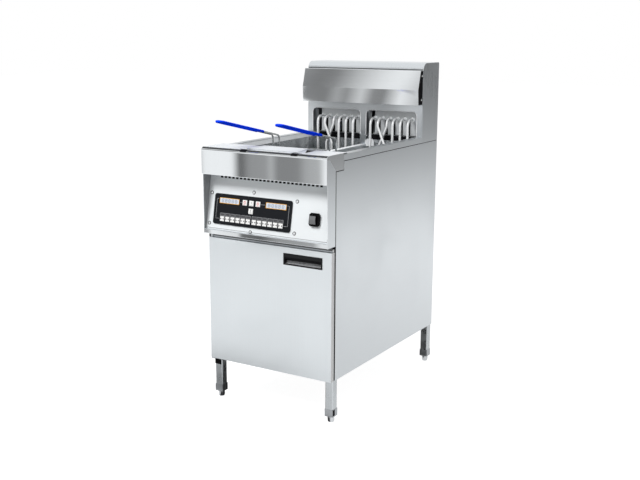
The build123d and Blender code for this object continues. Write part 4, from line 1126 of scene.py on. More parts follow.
    def rocker(self) -> None:
        """Build the roof-shaped rocker of the switch: its front faces grey as painted light, its
        other faces black as painted shade.
        """
        mesh = bmesh.new()
        lean = Matrix.Rotation(math.radians(self.rocker_tilt), 4, "X")
        place = self.spot(self.switch_u - self.keypad_u, 0.0, self.rocker_axis) @ lean
        left = -self.rocker_width / 2
        outline = [place @ (Vector((left, v, w)) * MM) for v, w in self.rocker_outline]
        self.add_slab(mesh, outline, (self.rocker_width, 0, 0))
        bmesh.ops.recalc_face_normals(mesh, faces=mesh.faces)
        self.soften(mesh, self.rocker_edge, sharper_deg=self.rocker_crease)
        front, node = [Accent(FORWARD, ROCKER_LIT_GREY)], "rocker"
        self.make(mesh, "rocker_block", BLACK_AND_SHADE, node, [node], FOLDED_DEG, accents=front)

    def slot_shade(self) -> None:
        """Close the vent slots with black boxes, as painted shade in them."""
        mesh = bmesh.new()
        level = self.shade_proud - self.slot_size[2] / 2
        for column in range(self.slot_count):
            u = (column - (self.slot_count - 1) / 2) * self.slot_pitch - self.keypad_u
            self.add_box(mesh, self.slot_size, self.spot(u, self.slot_v, level))
        self.make(mesh, "slot_shade", BLACK_AND_SHADE, "control_panel")

    def displays(self) -> None:
        """Make the two display panes with their digits and coloured borders."""
        surround, panes, borders, digits = (bmesh.new() for _ in range(4))
        outer = [length + 2 * self.border for length in self.pane_size]
        level, v = self.keypad_thick, self.display_v
        for _, sign in SIDES:
            u = sign * self.display_u
            place = self.spot(u, v, level - self.display_size[2] / 2)
            self.add_box(surround, self.display_size, place)
            self.patch(panes, (u, v), self.pane_size, level)
            self.frame_line(borders, (u, v), outer, self.border, level)
            for column in range(self.digit_count):
                shift = (column - (self.digit_count - 1) / 2) * self.digit_pitch
                self.digit(digits, u + shift, v)
        windows = "display_windows"
        self.make(surround, "display_surround", OVERLAY_FILM, windows, [windows])
        self.make(panes, "display_panes", DISPLAY_PANE, windows)
        self.make(borders, "display_borders", PRINT_AMBER, "keypad_bezel")
        self.make(digits, "display_digits", PRINT_PALE, windows)

    def digit(self, mesh: Mesh, u: float, v: float) -> None:
        """Add the seven bars of one unlit digit.

        Args:
            mesh: Mesh to add to.
            u: Middle of the digit on the panel.
            v: Its middle up the slope.
        """
        wide, high = self.digit_size
        top = self.keypad_thick + self.print_thick
        for row in (-1, 0, 1):
            self.patch(mesh, (u, v + row * high / 2), self.digit_bar, top)
        for side in (-1, 1):
            for row in (-1, 1):
                centre = (u + side * wide / 2, v + row * high / 4)
                self.patch(mesh, centre, self.digit_upright, top)

    def timer_us(self) -> list[float]:
        """Space the twelve timer keys along the keypad, in two groups of six.

        Returns:
            The places of their middles.
        """
        first = (1 - self.timer_columns) / 2
        columns = [(first + step) * self.timer_pitch for step in range(self.timer_columns)]
        return [sign * self.timer_u + shift for _, sign in SIDES for shift in columns]

    def overlay_print(self) -> None:
        """Print the lines and timer windows of the keypad, and lay a grey line of painted shade at
        the panel's foot.
        """
        lines, foot, windows = (bmesh.new() for _ in range(3))
        level, row_v, half = self.keypad_thick, self.display_v, self.line / 2
        reach = self.display_size[0] / 2 + self.line_clear
        key_reach = self.key_pitch + self.key_clear
        self.rule(lines, reach - self.display_u, self.key_u - key_reach, row_v)
        self.rule(lines, self.key_u + key_reach, self.display_u - reach, row_v)
        for _, sign in SIDES:
            edge, timer_end = (sign * u for u in self.line_us)
            top_v = row_v + self.line_rise
            self.rule(lines, sign * (self.display_u + reach), edge, top_v)
            start, end = (edge - half, self.timer_v - half), (edge + half, top_v - half)
            self.strip(lines, start, end, level)
            self.rule(lines, edge, timer_end, self.timer_v)
        self.rule(lines, -self.line_bridge, self.line_bridge, self.timer_v)
        wide, high = self.timer_size
        v = self.timer_v + high / 2 + self.window_rise
        more_u, more_v, line = self.window_frame
        frame = (wide + more_u, self.window_height + more_v)
        for u in self.timer_us():
            self.frame_line(lines, (u, v), frame, line, level)
            self.patch(windows, (u, v), (wide - self.window_short, self.window_height), level)
        self.make(lines, "overlay_lines", PRINT_AND_SHADE_GREY, "keypad_bezel")
        # A grey line of painted shade where the panel bends into the lip.
        foot_v = self.foot_v + self.foot_line / 2
        self.patch(foot, (-self.keypad_u, foot_v), (2 * self.cheek_x, self.foot_line), 0.0)
        self.make(foot, "panel_foot_shade_line", PRINT_AND_SHADE_GREY, "control_panel")
        self.make(windows, "indicator_windows", PRINT_DARK, "keypad_bezel")

    def top_keys(self) -> None:
        """Dress the four larger keys and print a plain sign on each."""
        places = {
            "key_left": (self.key_u - self.key_pitch, self.display_v, PRINT_RED),
            "key_middle": (self.key_u, self.display_v, PRINT_AND_SHADE_GREY),
            "key_right": (self.key_u + self.key_pitch, self.display_v, PRINT_RED),
            "key_lower": (self.key_u, self.key_lower_v, PRINT_AND_SHADE_GREY),
        }
        for node, (u, v, finish) in places.items():
            self.dress(node, KEY_WHITE, self.key_edge)
            sign = bmesh.new()
            place = self.spot(u, v + self.sign_rise, self.key_top)
            if finish is PRINT_RED:
                self.add_ring(sign, place, *self.ring_radii)
                self.patch(sign, (u, v + self.stroke_rise), self.stroke_size, self.key_top)
            else:
                self.add_arrow(sign, place, node == "key_lower")
            self.patch(sign, (u, v - self.dash_drop), self.dash_size, self.key_top)
            self.make(sign, f"{node}_sign", finish, node)

    def add_ring(self, mesh: Mesh, place: Matrix, outer: float, inner: float) -> None:
        """Add a flat ring of the print's thickness.

        Args:
            mesh: Mesh to add to.
            place: Matrix of its middle.
            outer: Outer radius.
            inner: Inner radius.
        """
        top = self.print_thick
        section = [(inner, 0.0), (outer, 0.0), (outer, top), (inner, top), (inner, 0.0)]
        self.add_lathe(mesh, section, place)

    def add_arrow(self, mesh: Mesh, place: Matrix, two_way: bool) -> None:
        """Add an arrow up, or one up and one down.

        Args:
            mesh: Mesh to add to.
            place: Matrix of its middle.
            two_way: Whether it points both ways.
        """
        one, both = self.arrow_lifts
        lift = Matrix.Translation((0, (both if two_way else one) * MM, 0))
        for turn in (0.0, math.pi) if two_way else (0.0,):
            tip = Matrix.Rotation(turn, 4, "Z") @ lift @ Matrix.Rotation(math.pi / 2, 4, "Z")
            self.add_prism(mesh, self.arrow_radius, self.print_thick, place @ tip, 3)
        middle = Matrix.Translation((0, 0, self.print_thick * MM / 2))
        self.add_box(mesh, (*self.shaft_size, self.print_thick), place @ middle)

    def timer_keys(self) -> None:
        """Dress the twelve timer keys and print a plain hourglass on each."""
        for number, u in enumerate(self.timer_us(), 1):
            node = f"timer_key_{number}"
            self.dress(node, KEY_WHITE, self.key_edge)
            sign = bmesh.new()
            for side in (-1, 1):
                place = self.spot(u + side * self.glass_half, self.timer_v, self.key_top)
                point = Matrix.Rotation(math.pi / 2 * side, 4, "Z")
                self.add_prism(sign, self.glass_radius, self.print_thick, place @ point, 3)
            self.make(sign, f"{node}_sign", PRINT_DARK, node)

    def screws(self) -> None:
        """Turn the screws round the keypad, on washers black as painted shade round each head, and
        those on the hood's ends.
        """
        mesh, washers = bmesh.new(), bmesh.new()
        (wide, high), (out_u, out_v) = self.keypad_size, self.screw_out
        ends, half = wide / 2 + out_u, high / 2
        spots = [(u, v) for u in (-ends, ends) for v in (-half, half)]
        spots += [(0.0, half + out_v), (0.0, -half - out_v)]
        for u, v in spots:
            self.screw(mesh, self.spot(u, v, 0.0), self.screw_radius, self.screw_head)
            self.add_lathe(washers, self.washer, self.spot(u, v, 0.0))
        for _, sign in SIDES:
            for z in self.hood_zs:
                for (x, y, drop), radius, head in self.hood_screws:
                    seat = facing((sign, 0, 0), at(sign * x, y, z - drop))
                    self.screw(mesh, seat, radius, head)
        self.make(mesh, "pan_head_screws", SCREW_STEEL, "cover_screws", ["cover_screws"])
        # The washers are black as painted shade round the screw heads.
        self.make(washers, "screw_washers", BLACK_AND_SHADE, "cover_screws")

    def screw(self, mesh: Mesh, place: Matrix, radius: float, head: float) -> None:
        """Add one pan-head screw with a dished recess, its local Z out of the surface."""
        profile = [(radius * wide, head * high) for wide, high in self.screw_form]
        self.add_lathe(mesh, profile, place)


@dataclass
class Tanks(SubAssembly):
    """Two pressed oil tanks under the deck with its divider cap."""

    centre: float = TANK_X
    width: float = 204.0
    front: float = 128.0
    back: float = 705.0
    top: float = 895.5
    taper_top: float = 678.5
    floor: float = 637.0
    inset: float = 24.0
    corner: float = 12.0
    corner_steps: int = 6
    wall: float = 1.5
    wall_reach: float = 0.1
    divider_top: float = 856.5
    divider_strip: Box = ((-11.5, 131.0, 858.0), (11.5, 681.0, 858.3))
    divider_end: Box = ((-12.0, 683.0, 858.0), (12.0, 684.6, 894.0))
    # Levels and thickness of a black strip of painted shade on the rear wall, under the riser.
    rear_shade_zs: Pair = (876.0, 895.0)
    rear_shade_thick: float = 0.6
    drip_reach: float = 9.0
    drip_foot: float = 880.5
    drip_drop: float = 0.3
    # A bright plate in the right tank's inner rear corner, as painted light where that corner
    # catches it.
    lit_plate_size: Spot = (34.0, 30.0, 1.2)
    lit_plate_facing: Spot = (0.62, -0.62, 0.48)
    lit_plate_in: Pair = (12.0, 14.0)
    lit_plate_z: float = 866.0
    lit_plate_edge: float = 0.3

    def build(self) -> None:
        """Press the two tanks and dress the deck."""
        top = Accent(UP, DECK_STEEL)
        self.dress("counter_deck", SIDE_STEEL, 0.5, accents=[top], nudges=DECK_SLIT)
        self.bars("divider_strip", STRIP_STEEL, "counter_deck", self.divider_strip)
        self.bars("divider_end", RISER_STEEL, "counter_deck", self.divider_end)
        for side, sign in SIDES:
            self.tank(f"{side}_tank", sign)
            self.rear_trim(f"{side}_tank", sign)

    def rear_trim(self, node: str, sign: int) -> None:
        """Lay a black strip of painted shade on the rear wall under the riser, slope the outer
        rim, and in the right tank put a bright plate in the inner rear corner as painted light.

        Args:
            node: CAD node that carries the trim.
            sign: -1 for the left tank and 1 for the right one.
        """
        middle, reach = sign * self.centre, self.width / 2 - self.corner
        low, high = self.rear_shade_zs
        start = (middle - reach, self.back - self.rear_shade_thick, low)
        # The box seal is the black strip of painted shade.
        seal = (start, (middle + reach, self.back, high))
        self.bars(f"{node}_rear_seal", BLACK_AND_SHADE, node, seal)
        band = bmesh.new()
        outer = sign * (self.centre + self.width / 2)
        foot = self.drip_foot
        section = [(0.0, self.top - self.drip_drop), (self.drip_reach, foot), (0.0, foot)]
        near, far = self.front + self.corner, self.back - self.corner
        wedge = [at(outer - sign * x, near, z) for x, z in section]
        self.add_slab(band, wedge, (0, far - near, 0))
        self.make(band, f"{node}_rim_band", STRIP_STEEL, node)
        if sign < 0:
            return
        lit_plate = bmesh.new()
        inner, (in_x, in_y) = self.centre - self.width / 2, self.lit_plate_in
        spot = at(inner + in_x, self.back - in_y, self.lit_plate_z)
        place = facing(self.lit_plate_facing, spot)
        self.add_box(lit_plate, self.lit_plate_size, place, self.lit_plate_edge)
        self.make(lit_plate, f"{node}_gusset", STRIP_STEEL, node)

    def tank(self, node: str, sign: int) -> None:
        """Press one tank: rounded upright corners, a sloping cold zone and a low inner wall.

        Args:
            node: CAD node that the tank replaces.
            sign: -1 for the left tank and 1 for the right one.
        """
        mesh = bmesh.new()
        length, height = self.back - self.front, self.top - self.taper_top
        halfway = (self.front + self.back) / 2
        middle = at(sign * self.centre, halfway, (self.top + self.taper_top) / 2)
        self.add_box(mesh, (self.width, length, height), Matrix.Translation(middle))
        rise = {line: line.verts[0].co.z - line.verts[1].co.z for line in mesh.edges}
        upright = [line for line, step in rise.items() if abs(step) > WELD]
        self.bevel(mesh, upright, self.corner, self.corner_steps, False)
        level = [face for face in mesh.faces if abs(face.normal.z) > face.normal.xy.length]
        lower, upper = sorted(level, key=lambda face: face.calc_center_median().z)
        bmesh.ops.delete(mesh, geom=[upper], context="FACES_ONLY")
        made = bmesh.ops.extrude_face_region(mesh, geom=[lower])["geom"]
        bmesh.ops.delete(mesh, geom=[lower], context="FACES_ONLY")
        foot = only(made, Vert)
        bmesh.ops.translate(mesh, verts=foot, vec=(0, 0, (self.floor - self.taper_top) * MM))
        shrink = [(size - 2 * self.inset) / size for size in (self.width, length)]
        bmesh.ops.scale(mesh, verts=foot, vec=(*shrink, 1.0), space=Matrix.Translation(-middle))
        self.lower_inner_wall(mesh, sign)
        bmesh.ops.remove_doubles(mesh, verts=mesh.verts, dist=WELD)
        bmesh.ops.recalc_face_normals(mesh, faces=mesh.faces)
        bmesh.ops.solidify(mesh, geom=mesh.faces[:], thickness=-self.wall * MM)
        self.make(mesh, f"{node}_pressed", TANK_STEEL, node, [node], FOLDED_DEG)

    def lower_inner_wall(self, mesh: Mesh, sign: int) -> None:
        """Cut the wall beside the divider down to the height of its cap.

        Args:
            mesh: Mesh of the tank, without thickness.
            sign: -1 for the left tank and 1 for the right one.
        """
        low = at(0, self.front + self.corner, self.divider_top)
        high = at(0, self.back - self.corner, self.top)
        inner_x = sign * (self.centre - self.width / 2) * MM
        reach = self.wall_reach * MM
        for point, normal in ((low, (0, 0, 1)), (low, (0, 1, 0)), (high, (0, 1, 0))):
            middles = {face: face.calc_center_median().x for face in mesh.faces}
            wall = [face for face, x in middles.items() if abs(x - inner_x) < reach]
            geom = list({item for face in wall for item in (face, *face.edges, *face.verts)})
            bmesh.ops.bisect_plane(mesh, geom=geom, plane_co=point, plane_no=normal, dist=WELD)
        gone = []
        for face in mesh.faces:
            spot = face.calc_center_median()
            if abs(spot.x - inner_x) < reach and low.y < spot.y < high.y and spot.z > low.z:
                gone.append(face)
        bmesh.ops.delete(mesh, geom=gone, context="FACES")


@dataclass
class Riser(SubAssembly):
    """Rear riser: bent shell, front sheet with two windows, hood, brackets and terminal plate."""

    edge: float = 0.5
    window_xs: Pair = (12.0, 223.0)
    window_zs: Pair = (897.0, 989.0)
    window_corner: float = 16.0
    bead_y: float = 684.6
    bead_radius: float = 1.1
    end_x: float = 241.0
    end_thick: float = 0.8
    end_outline: Pairs = (
        (684.4, 1137.6), (664.0, 1137.6), (645.7, 1071.0), (649.4, 1016.5), (684.4, 1016.5)
    )
    # A dark grey bar of painted shade along the hood's top edge.
    seam: Box = ((-243.0, 684.3, 1140.4), (243.0, 684.9, 1143.4))

    def build(self) -> None:
        """Dress the riser's sheets."""
        self.dress("riser_shell", RISER_STEEL, self.edge, nudges=DECK_SLIT)
        self.coat(RISER_STEEL, "riser_front")
        self.dress("hood_panel", HOOD_STEEL, self.edge)
        # The brackets are black as painted shade inside the hood's open ends.
        self.dress("hood_brackets", BLACK_AND_SHADE, 0.4)
        self.hood_trim()
        self.dress("terminal_plate", PLATE_STEEL, 0.3)

    def hood_trim(self) -> None:
        """Close the hood's ends with black plates as painted shade in its open ends, lay a dark
        grey line of painted shade along its top edge, and bead the windows' edges with rods of
        near-white steel as painted highlights.
        """
        ends, beads = bmesh.new(), bmesh.new()
        for _, sign in SIDES:
            outline = [at(sign * self.end_x, y, z) for y, z in self.end_outline]
            self.add_slab(ends, outline, (sign * self.end_thick, 0, 0))
        self.make(ends, "hood_end_shades", BLACK_AND_SHADE, "hood_brackets")
        self.bars("hood_top_shade", SHADE_LINE_GREY, "riser_front", self.seam)
        foot, top = self.window_zs
        for _, sign in SIDES:
            left, right = sorted(sign * x for x in self.window_xs)
            corners = ((left, foot), (left, top), (right, top), (right, foot))
            route = [at(x, self.bead_y, z) for x, z in corners]
            BentRod(self.bead_radius, 8, 6).lay(beads, route, [self.window_corner] * 2)
        self.make(beads, "window_beads", HIGHLIGHT_STEEL, "riser_front", (), ROUND_DEG)


@dataclass
class Heaters(SubAssembly):
    """Three hairpin heating tubes in each tank with their fittings, probes and basket racks."""

    centre: float = TANK_X
    legs: int = 6
    pitch: float = 31.0
    radius: float = 4.7
    terminal_y: float = 715.0
    rise_y: float = 673.0
    back_shift: float = 12.5
    top_z: float = 957.0
    floor_z: float = 730.0
    front_y: float = 200.0
    top_bend: float = 22.0
    foot_bend: float = 25.0
    fork_bend: float = 18.0
    washer_radius: float = 8.6
    washer_thick: float = 1.2
    ferrule_radius: float = 7.4
    ferrule_length: float = 6.0
    ferrule_edge: float = 0.6
    fork_z: float = 928.0
    meet_z: float = 856.0
    # Half width, levels and lift of the black bars of painted shade beside the tubes.
    tube_shade_half: float = 6.0
    tube_shade_zs: Pair = (897.0, 951.0)
    shade_proud: float = 0.4
    probe_radius: float = 3.0
    probe_y: float = 699.0
    probe_zs: Pair = (939.0, 722.0)
    probe_bend: float = 8.0

    def build(self) -> None:
        """Bend the tubes, fit the probes and dress the racks."""
        self.dress("basket_racks", RISER_STEEL, 0.4)
        for side, sign in SIDES:
            self.element(f"{side}_heating_element", sign * self.centre)
            self.plate_tube_shades(f"{side}_plate_tube_shades", sign * self.centre)
        self.probes()

    def leg_x(self, leg: int, centre: float) -> float:
        """Place of one tube leg across its tank."""
        return centre + (leg - (self.legs - 1) / 2) * self.pitch

    def leg_route(self, leg: int, centre: float) -> tuple[list[Vector], list[float], float]:
        """Corners of one leg from its fitting down to the floor of the tank.

        Args:
            leg: Number of the leg from the left.
            centre: Middle of the tank.

        Returns:
            The corners, the bends at all of them but the first, and the leg's x at its fitting.
        """
        foot_x = self.leg_x(leg, centre)
        swap = {1: 2, 2: 1}
        top_x = self.leg_x(swap.get(leg, leg), centre)
        rise_y = self.rise_y + (self.back_shift if leg == 1 else 0.0)
        corners = [at(top_x, self.terminal_y, self.top_z), at(top_x, rise_y, self.top_z)]
        bends = [self.top_bend]
        if leg in swap:
            corners += [at(top_x, rise_y, self.fork_z), at(foot_x, rise_y, self.meet_z)]
            bends += [self.fork_bend] * 2
        corners.append(at(foot_x, rise_y, self.floor_z))
        bends.append(self.foot_bend)
        return corners, bends, top_x

    def element(self, node: str, centre: float) -> None:
        """Bend the three hairpins of one tank and screw in their hexagon fittings.

        Args:
            node: CAD node that the element replaces.
            centre: Middle of the tank.
        """
        mesh, fittings = bmesh.new(), bmesh.new()
        rod = BentRod(self.radius, 14, 8)
        for first in range(0, self.legs, 2):
            down, down_bends, left_x = self.leg_route(first, centre)
            up, up_bends, right_x = self.leg_route(first + 1, centre)
            turn = [
                at(self.leg_x(leg, centre), self.front_y, self.floor_z)
                for leg in (first, first + 1)
            ]
            turn_bends = [self.pitch / 2 - BEND_CLEAR] * 2
            rod.lay(mesh, down + turn + up[::-1], down_bends + turn_bends + up_bends[::-1])
            for x in (left_x, right_x):
                self.fitting(fittings, x)
        self.make(mesh, f"{node}_bent", HEATER_STEEL, node, [node], ROUND_DEG)
        self.make(fittings, f"{node}_fittings", SCREW_STEEL, node)

    def plate_tube_shades(self, name: str, centre: float) -> None:
        """Lay black bars on the terminal plate between the fittings of one tank, as painted shade
        beside the tubes.

        Args:
            name: Name of the piece.
            centre: Middle of the tank.
        """
        foot, top = self.tube_shade_zs
        near, half = self.terminal_y - self.shade_proud, self.tube_shade_half
        middles = [self.leg_x(leg, centre) - self.pitch / 2 for leg in range(self.legs)]
        # Each bar in slots is painted shade beside a tube.
        slots = [((x - half, near, foot), (x + half, self.terminal_y, top)) for x in middles]
        self.bars(name, BLACK_AND_SHADE, "terminal_plate", *slots)

    def fitting(self, mesh: Mesh, x: float) -> None:
        """Add a hexagon nut on a washer where a tube passes the terminal plate.

        Args:
            mesh: Mesh to add to.
            x: Place of the tube.
        """
        place = facing(FORWARD, at(x, self.terminal_y, self.top_z))
        bore, wide, thick = self.radius, self.washer_radius, self.washer_thick
        self.add_lathe(mesh, [(bore, 0.0), (wide, 0.0), (wide, thick), (bore, thick)], place)
        before = set(mesh.verts)
        nut = place @ Matrix.Translation((0, 0, thick * MM))
        self.add_prism(mesh, self.ferrule_radius, self.ferrule_length - thick, nut)
        hard = {line for vert in mesh.verts if vert not in before for line in vert.link_edges}
        self.bevel(mesh, list(hard), self.ferrule_edge, 2, False)

    def probes(self) -> None:
        """Bend the temperature probe of each tank."""
        mesh = bmesh.new()
        top, foot = self.probe_zs
        for _, sign in SIDES:
            route = [
                at(sign * self.centre, y, z)
                for y, z in ((self.terminal_y, top), (self.probe_y, top), (self.probe_y, foot))
            ]
            BentRod(self.probe_radius, 12, 6).lay(mesh, route, [self.probe_bend])
        node = "temperature_probes"
        self.make(mesh, "probe_tubes", HEATER_STEEL, node, [node], ROUND_DEG)


@dataclass
class Basket(SubAssembly):
    """Lift-out frying basket of woven wire with a round rim, handle wires and a coated grip."""

    side: str
    centre: float
    width: float = 165.0
    front: float = 265.0
    back: float = 595.0
    bottom: float = 736.65
    rim_z: float = 837.0
    rim_radius: float = 3.0
    hoop_radius: float = 1.5
    hoop_lift: float = 3.4
    hoop_inset: float = 3.0
    mesh_radius: float = 0.65
    mesh_pitch: float = 7.6
    mesh_inset: float = 1.0
    mesh_bend: float = 6.0
    loop_zs: Pair = (10.0, 8.0)
    corner: float = 9.0
    wire_radius: float = 3.0
    wire_spread: float = 13.0
    wire_y: float = 259.0
    wire_foot: float = 756.65
    wire_top: float = 925.0
    wire_bend: float = 14.0
    rise_deg: float = 12.3
    wire_end: float = 100.0
    grip_root: float = 160.0
    grip_length: float = 245.0
    grip_width: float = 36.0
    grip_radius: float = 4.4
    web_length: float = 111.0
    web_thick: float = 5.0
    web_edge: float = 0.8

    def build(self) -> None:
        """Weave the net, bend the rim and the wires, and bend the grip."""
        node = f"{self.side}_basket"
        net, wires = bmesh.new(), bmesh.new()
        self.weave(net)
        self.make(net, f"{node}_net", WIRE_STEEL, node, (), CURVED_DEG)
        self.loop(wires, BentRod(self.rim_radius, 12, 6), self.rim_z, 0.0)
        hoop_z = self.bottom + self.hoop_lift
        self.loop(wires, BentRod(self.hoop_radius, 8, 5), hoop_z, self.hoop_inset)
        self.handle_wires(wires)
        self.make(wires, f"{node}_wires", WIRE_STEEL, node, [node], ROUND_DEG)
        self.grip(f"{node}_grip")

    def sides(self, inset: float) -> tuple[float, float, float, float]:
        """Left, right, near and far side of the basket, moved inwards by an inset."""
        half = self.width / 2 - inset
        return self.centre - half, self.centre + half, self.front + inset, self.back - inset

    def weave(self, mesh: Mesh) -> None:
        """Bend U wires along and across the basket, and loops round its walls.

        Args:
            mesh: Mesh to add to.
        """
        thin = BentRod(self.mesh_radius, 5, 3)
        left, right, near, far = self.sides(self.mesh_inset)
        low, high = self.bottom + self.mesh_radius, self.rim_z
        bend, shift = self.mesh_bend, 2 * self.mesh_radius
        for x in self.spaced(left + bend, right - bend):
            route = [at(x, y, z) for y, z in ((near, high), (near, low), (far, low), (far, high))]
            thin.lay(mesh, route, [bend] * 2)
        low += shift
        for y in self.spaced(near + bend, far - bend):
            path = ((left, high), (left, low), (right, low), (right, high))
            thin.lay(mesh, [at(x, y, z) for x, z in path], [bend] * 2)
        above, below = self.loop_zs
        for z in self.spaced(self.bottom + above, self.rim_z - below):
            self.loop(mesh, thin, z, self.mesh_inset + shift)

    def spaced(self, start: float, end: float) -> list[float]:
        """Evenly spaced places from start to end, about one mesh pitch apart."""
        count = max(2, round((end - start) / self.mesh_pitch))
        return [start + (end - start) * step / count for step in range(count + 1)]

    def loop(self, mesh: Mesh, rod: BentRod, z: float, inset: float) -> None:
        """Lay one closed loop of rod round the basket.

        Args:
            mesh: Mesh to add to.
            rod: The rod.
            z: Its level.
            inset: Its distance inside the basket's sides.
        """
        left, right, near, far = self.sides(inset)
        start = (self.centre, near)
        path = (start, (right, near), (right, far), (left, far), (left, near), start)
        rod.lay(mesh, [at(x, y, z) for x, y in path], [self.corner] * 4, closed=True)

    def wire_z(self, y: float) -> float:
        """Level of the rising handle wires at a place in front of the basket."""
        return self.wire_top + (self.wire_y - y) * math.tan(math.radians(self.rise_deg))

    def handle_wires(self, mesh: Mesh) -> None:
        """Bend the two wires that run up the front and forward into the grip.

        Args:
            mesh: Mesh to add to.
        """
        path = [(self.wire_y, self.wire_foot), (self.wire_y, self.wire_top)]
        path.append((self.wire_end, self.wire_z(self.wire_end)))
        for _, sign in SIDES:
            route = [at(self.centre + sign * self.wire_spread, y, z) for y, z in path]
            BentRod(self.wire_radius, 12, 8).lay(mesh, route, [self.wire_bend])

    def grip(self, node: str) -> None:
        """Bend the coated loop of the grip and close its root half with a web.

        Args:
            node: CAD node that the grip replaces.
        """
        rise = math.radians(self.rise_deg)
        across = Vector(RIGHT)
        forward = Vector((0.0, -math.cos(rise), math.sin(rise)))
        root = at(self.centre, self.grip_root, self.wire_z(self.grip_root))
        half = self.grip_width / 2 - self.grip_radius
        tip = forward * (self.grip_length - self.grip_radius) * MM
        left, right = across * -half * MM, across * half * MM
        mesh = bmesh.new()
        route = [root + left, root + tip + left, root + tip + right, root + right]
        BentRod(self.grip_radius, 14, 8).lay(mesh, route, [half - BEND_CLEAR] * 2)
        turn = Matrix((across, forward, across.cross(forward))).transposed().to_4x4()
        place = Matrix.Translation(root + forward * self.web_length / 2 * MM) @ turn
        web = (2 * half, self.web_length, self.web_thick)
        self.add_box(mesh, web, place, self.web_edge)
        self.make(mesh, f"{node}_loop", BLUE_COATING, node, [node], ROUND_DEG)


@dataclass
class Door(SubAssembly):
    """Folded door with its liner, black recessed pull and hinge pins."""

    edge: float = 0.6
    header: Box = ((-242.0, 42.0, 587.8), (243.0, 43.2, 592.4))
    # A dark bar of painted shade under the housing's lip, black bars of painted shade at the ends
    # of the gap, and a bar of painted highlight at its right end.
    header_gap_shade: Box = ((-242.0, 42.4, 592.4), (242.0, 43.4, 605.3))
    header_end_shades: tuple[Box, Box] = (
        ((242.2, 43.4, 597.0), (243.4, 54.0, 605.3)),
        ((-244.6, 35.0, 588.0), (-241.0, 42.4, 604.8)),
    )
    header_return_highlight: Box = ((242.2, 43.4, 587.8), (243.4, 52.0, 597.0))
    pull_back: Box = ((66.5, 45.1, 532.9), (204.5, 45.6, 541.5))
    pull_floor: Box = ((66.5, 36.0, 532.6), (204.5, 45.6, 532.9))
    # A black bar of painted shade along the pull's lip.
    pull_lip_shade: Box = ((66.0, 31.45, 548.9), (205.0, 31.7, 554.6))

    def build(self) -> None:
        """Dress the door with a painted highlight on its right edge; close the gap above it with a
        grey strip, dark bars of painted shade and a painted highlight at its right end; and line
        its recessed pull, with a black line of painted shade at its lip.
        """
        # The door's right-facing faces take near-white steel as a painted highlight.
        self.dress("door_panel", DOOR_STEEL, self.edge, 3, [Accent(RIGHT, HIGHLIGHT_STEEL)])
        self.dress("door_liner", ZINC_STEEL, 0.3)
        self.dress("door_handle", BLACK_PLASTIC, 0.6, 3)
        self.dress("hinge_pins", SLEEVE_STEEL, 0.4)
        self.bars("header_strip", SLEEVE_STEEL, "front_frame", self.header, edge=0.3)
        self.bars("header_gap_shade", GAP_SHADE_STEEL, "front_frame", self.header_gap_shade)
        self.bars("header_end_shades", BLACK_AND_SHADE, "front_frame", *self.header_end_shades)
        self.bars("header_return_highlight", HIGHLIGHT_STEEL, "front_frame", self.header_return_highlight)
        self.bars("pull_lining", PULL_GREY, "door_handle", self.pull_back, self.pull_floor)
        self.bars("pull_lip_edge", BLACK_AND_SHADE, "door_handle", self.pull_lip_shade)


class Drains(SubAssembly):
    """Drain pipes with their valves and red levers under the tanks."""

    def build(self) -> None:
        """Dress the valves and levers."""
        self.dress("drain_valves", VALVE_BRASS, 0.8, 3)
        for side, _ in SIDES:
            self.dress(f"{side}_valve_lever", LEVER_RED, 0.8, 3)


def bare_material(name: str) -> tuple[Material, Tree, Socket]:
    """Start a material without a shader.

    Args:
        name: Name of the material.

    Returns:
        The material, its tree and the socket of its surface.
    """
    material = bpy.data.materials.new(name)
    material.use_nodes = True
    tree = material.node_tree
    tree.nodes.remove(tree.nodes["Principled BSDF"])
    return material, tree, tree.nodes["Material Output"].inputs["Surface"]


def lay_plane(name: str, half: float, material: Material) -> bpy.types.Object:
    """Lay a square plane of the studio.

    Args:
        name: Name of the plane.
        half: Half its side in metres.
        material: Its material.

    Returns:
        The plane.
    """
    mesh = bmesh.new()
    bmesh.ops.create_grid(mesh, x_segments=1, y_segments=1, size=half)
    data = to_data(mesh, name)
    data.materials.append(material)
    return put(name, data)


@dataclass(frozen=True)
class Card:
    """A reflector card that only mirrors see, with a run of levels along its own X."""

    name: str
    middle: Spot
    turn_deg: Spot
    size: Pair
    levels: Pairs

    def hang(self) -> None:
        """Hang the card in the studio."""
        card = lay_plane(self.name, 0.5, self.material())
        card.location = self.middle
        card.rotation_euler = [math.radians(angle) for angle in self.turn_deg]
        card.scale = (*self.size, 1.0)
        for ray in ("camera", "diffuse", "transmission", "volume_scatter", "shadow"):
            setattr(card, f"visible_{ray}", False)

    def material(self) -> Material:
        """Let the card glow with its levels.

        Returns:
            The material.
        """
        material, tree, surface = bare_material(self.name)
        # The card is one unit wide about its middle, so half a unit turns X into a share.
        coords = add_node(tree, "TexCoord").outputs["Object"]
        across = add_node(tree, "SeparateXYZ", {"Vector": coords}).outputs["X"]
        share = add_node(tree, "Math", {0: across, 1: 0.5}).outputs["Value"]
        ramp = add_node(tree, "ValToRGB", {"Fac": share})
        steps = ramp.color_ramp.elements
        while len(steps) < len(self.levels):
            steps.new(0.5)
        for step, (place, level) in zip(steps, self.levels):
            step.position = place
            step.color = (level, level, level, 1.0)
        glow = add_node(tree, "Emission", {"Color": ramp.outputs["Color"]})
        tree.links.new(glow.outputs[0], surface)
        return material


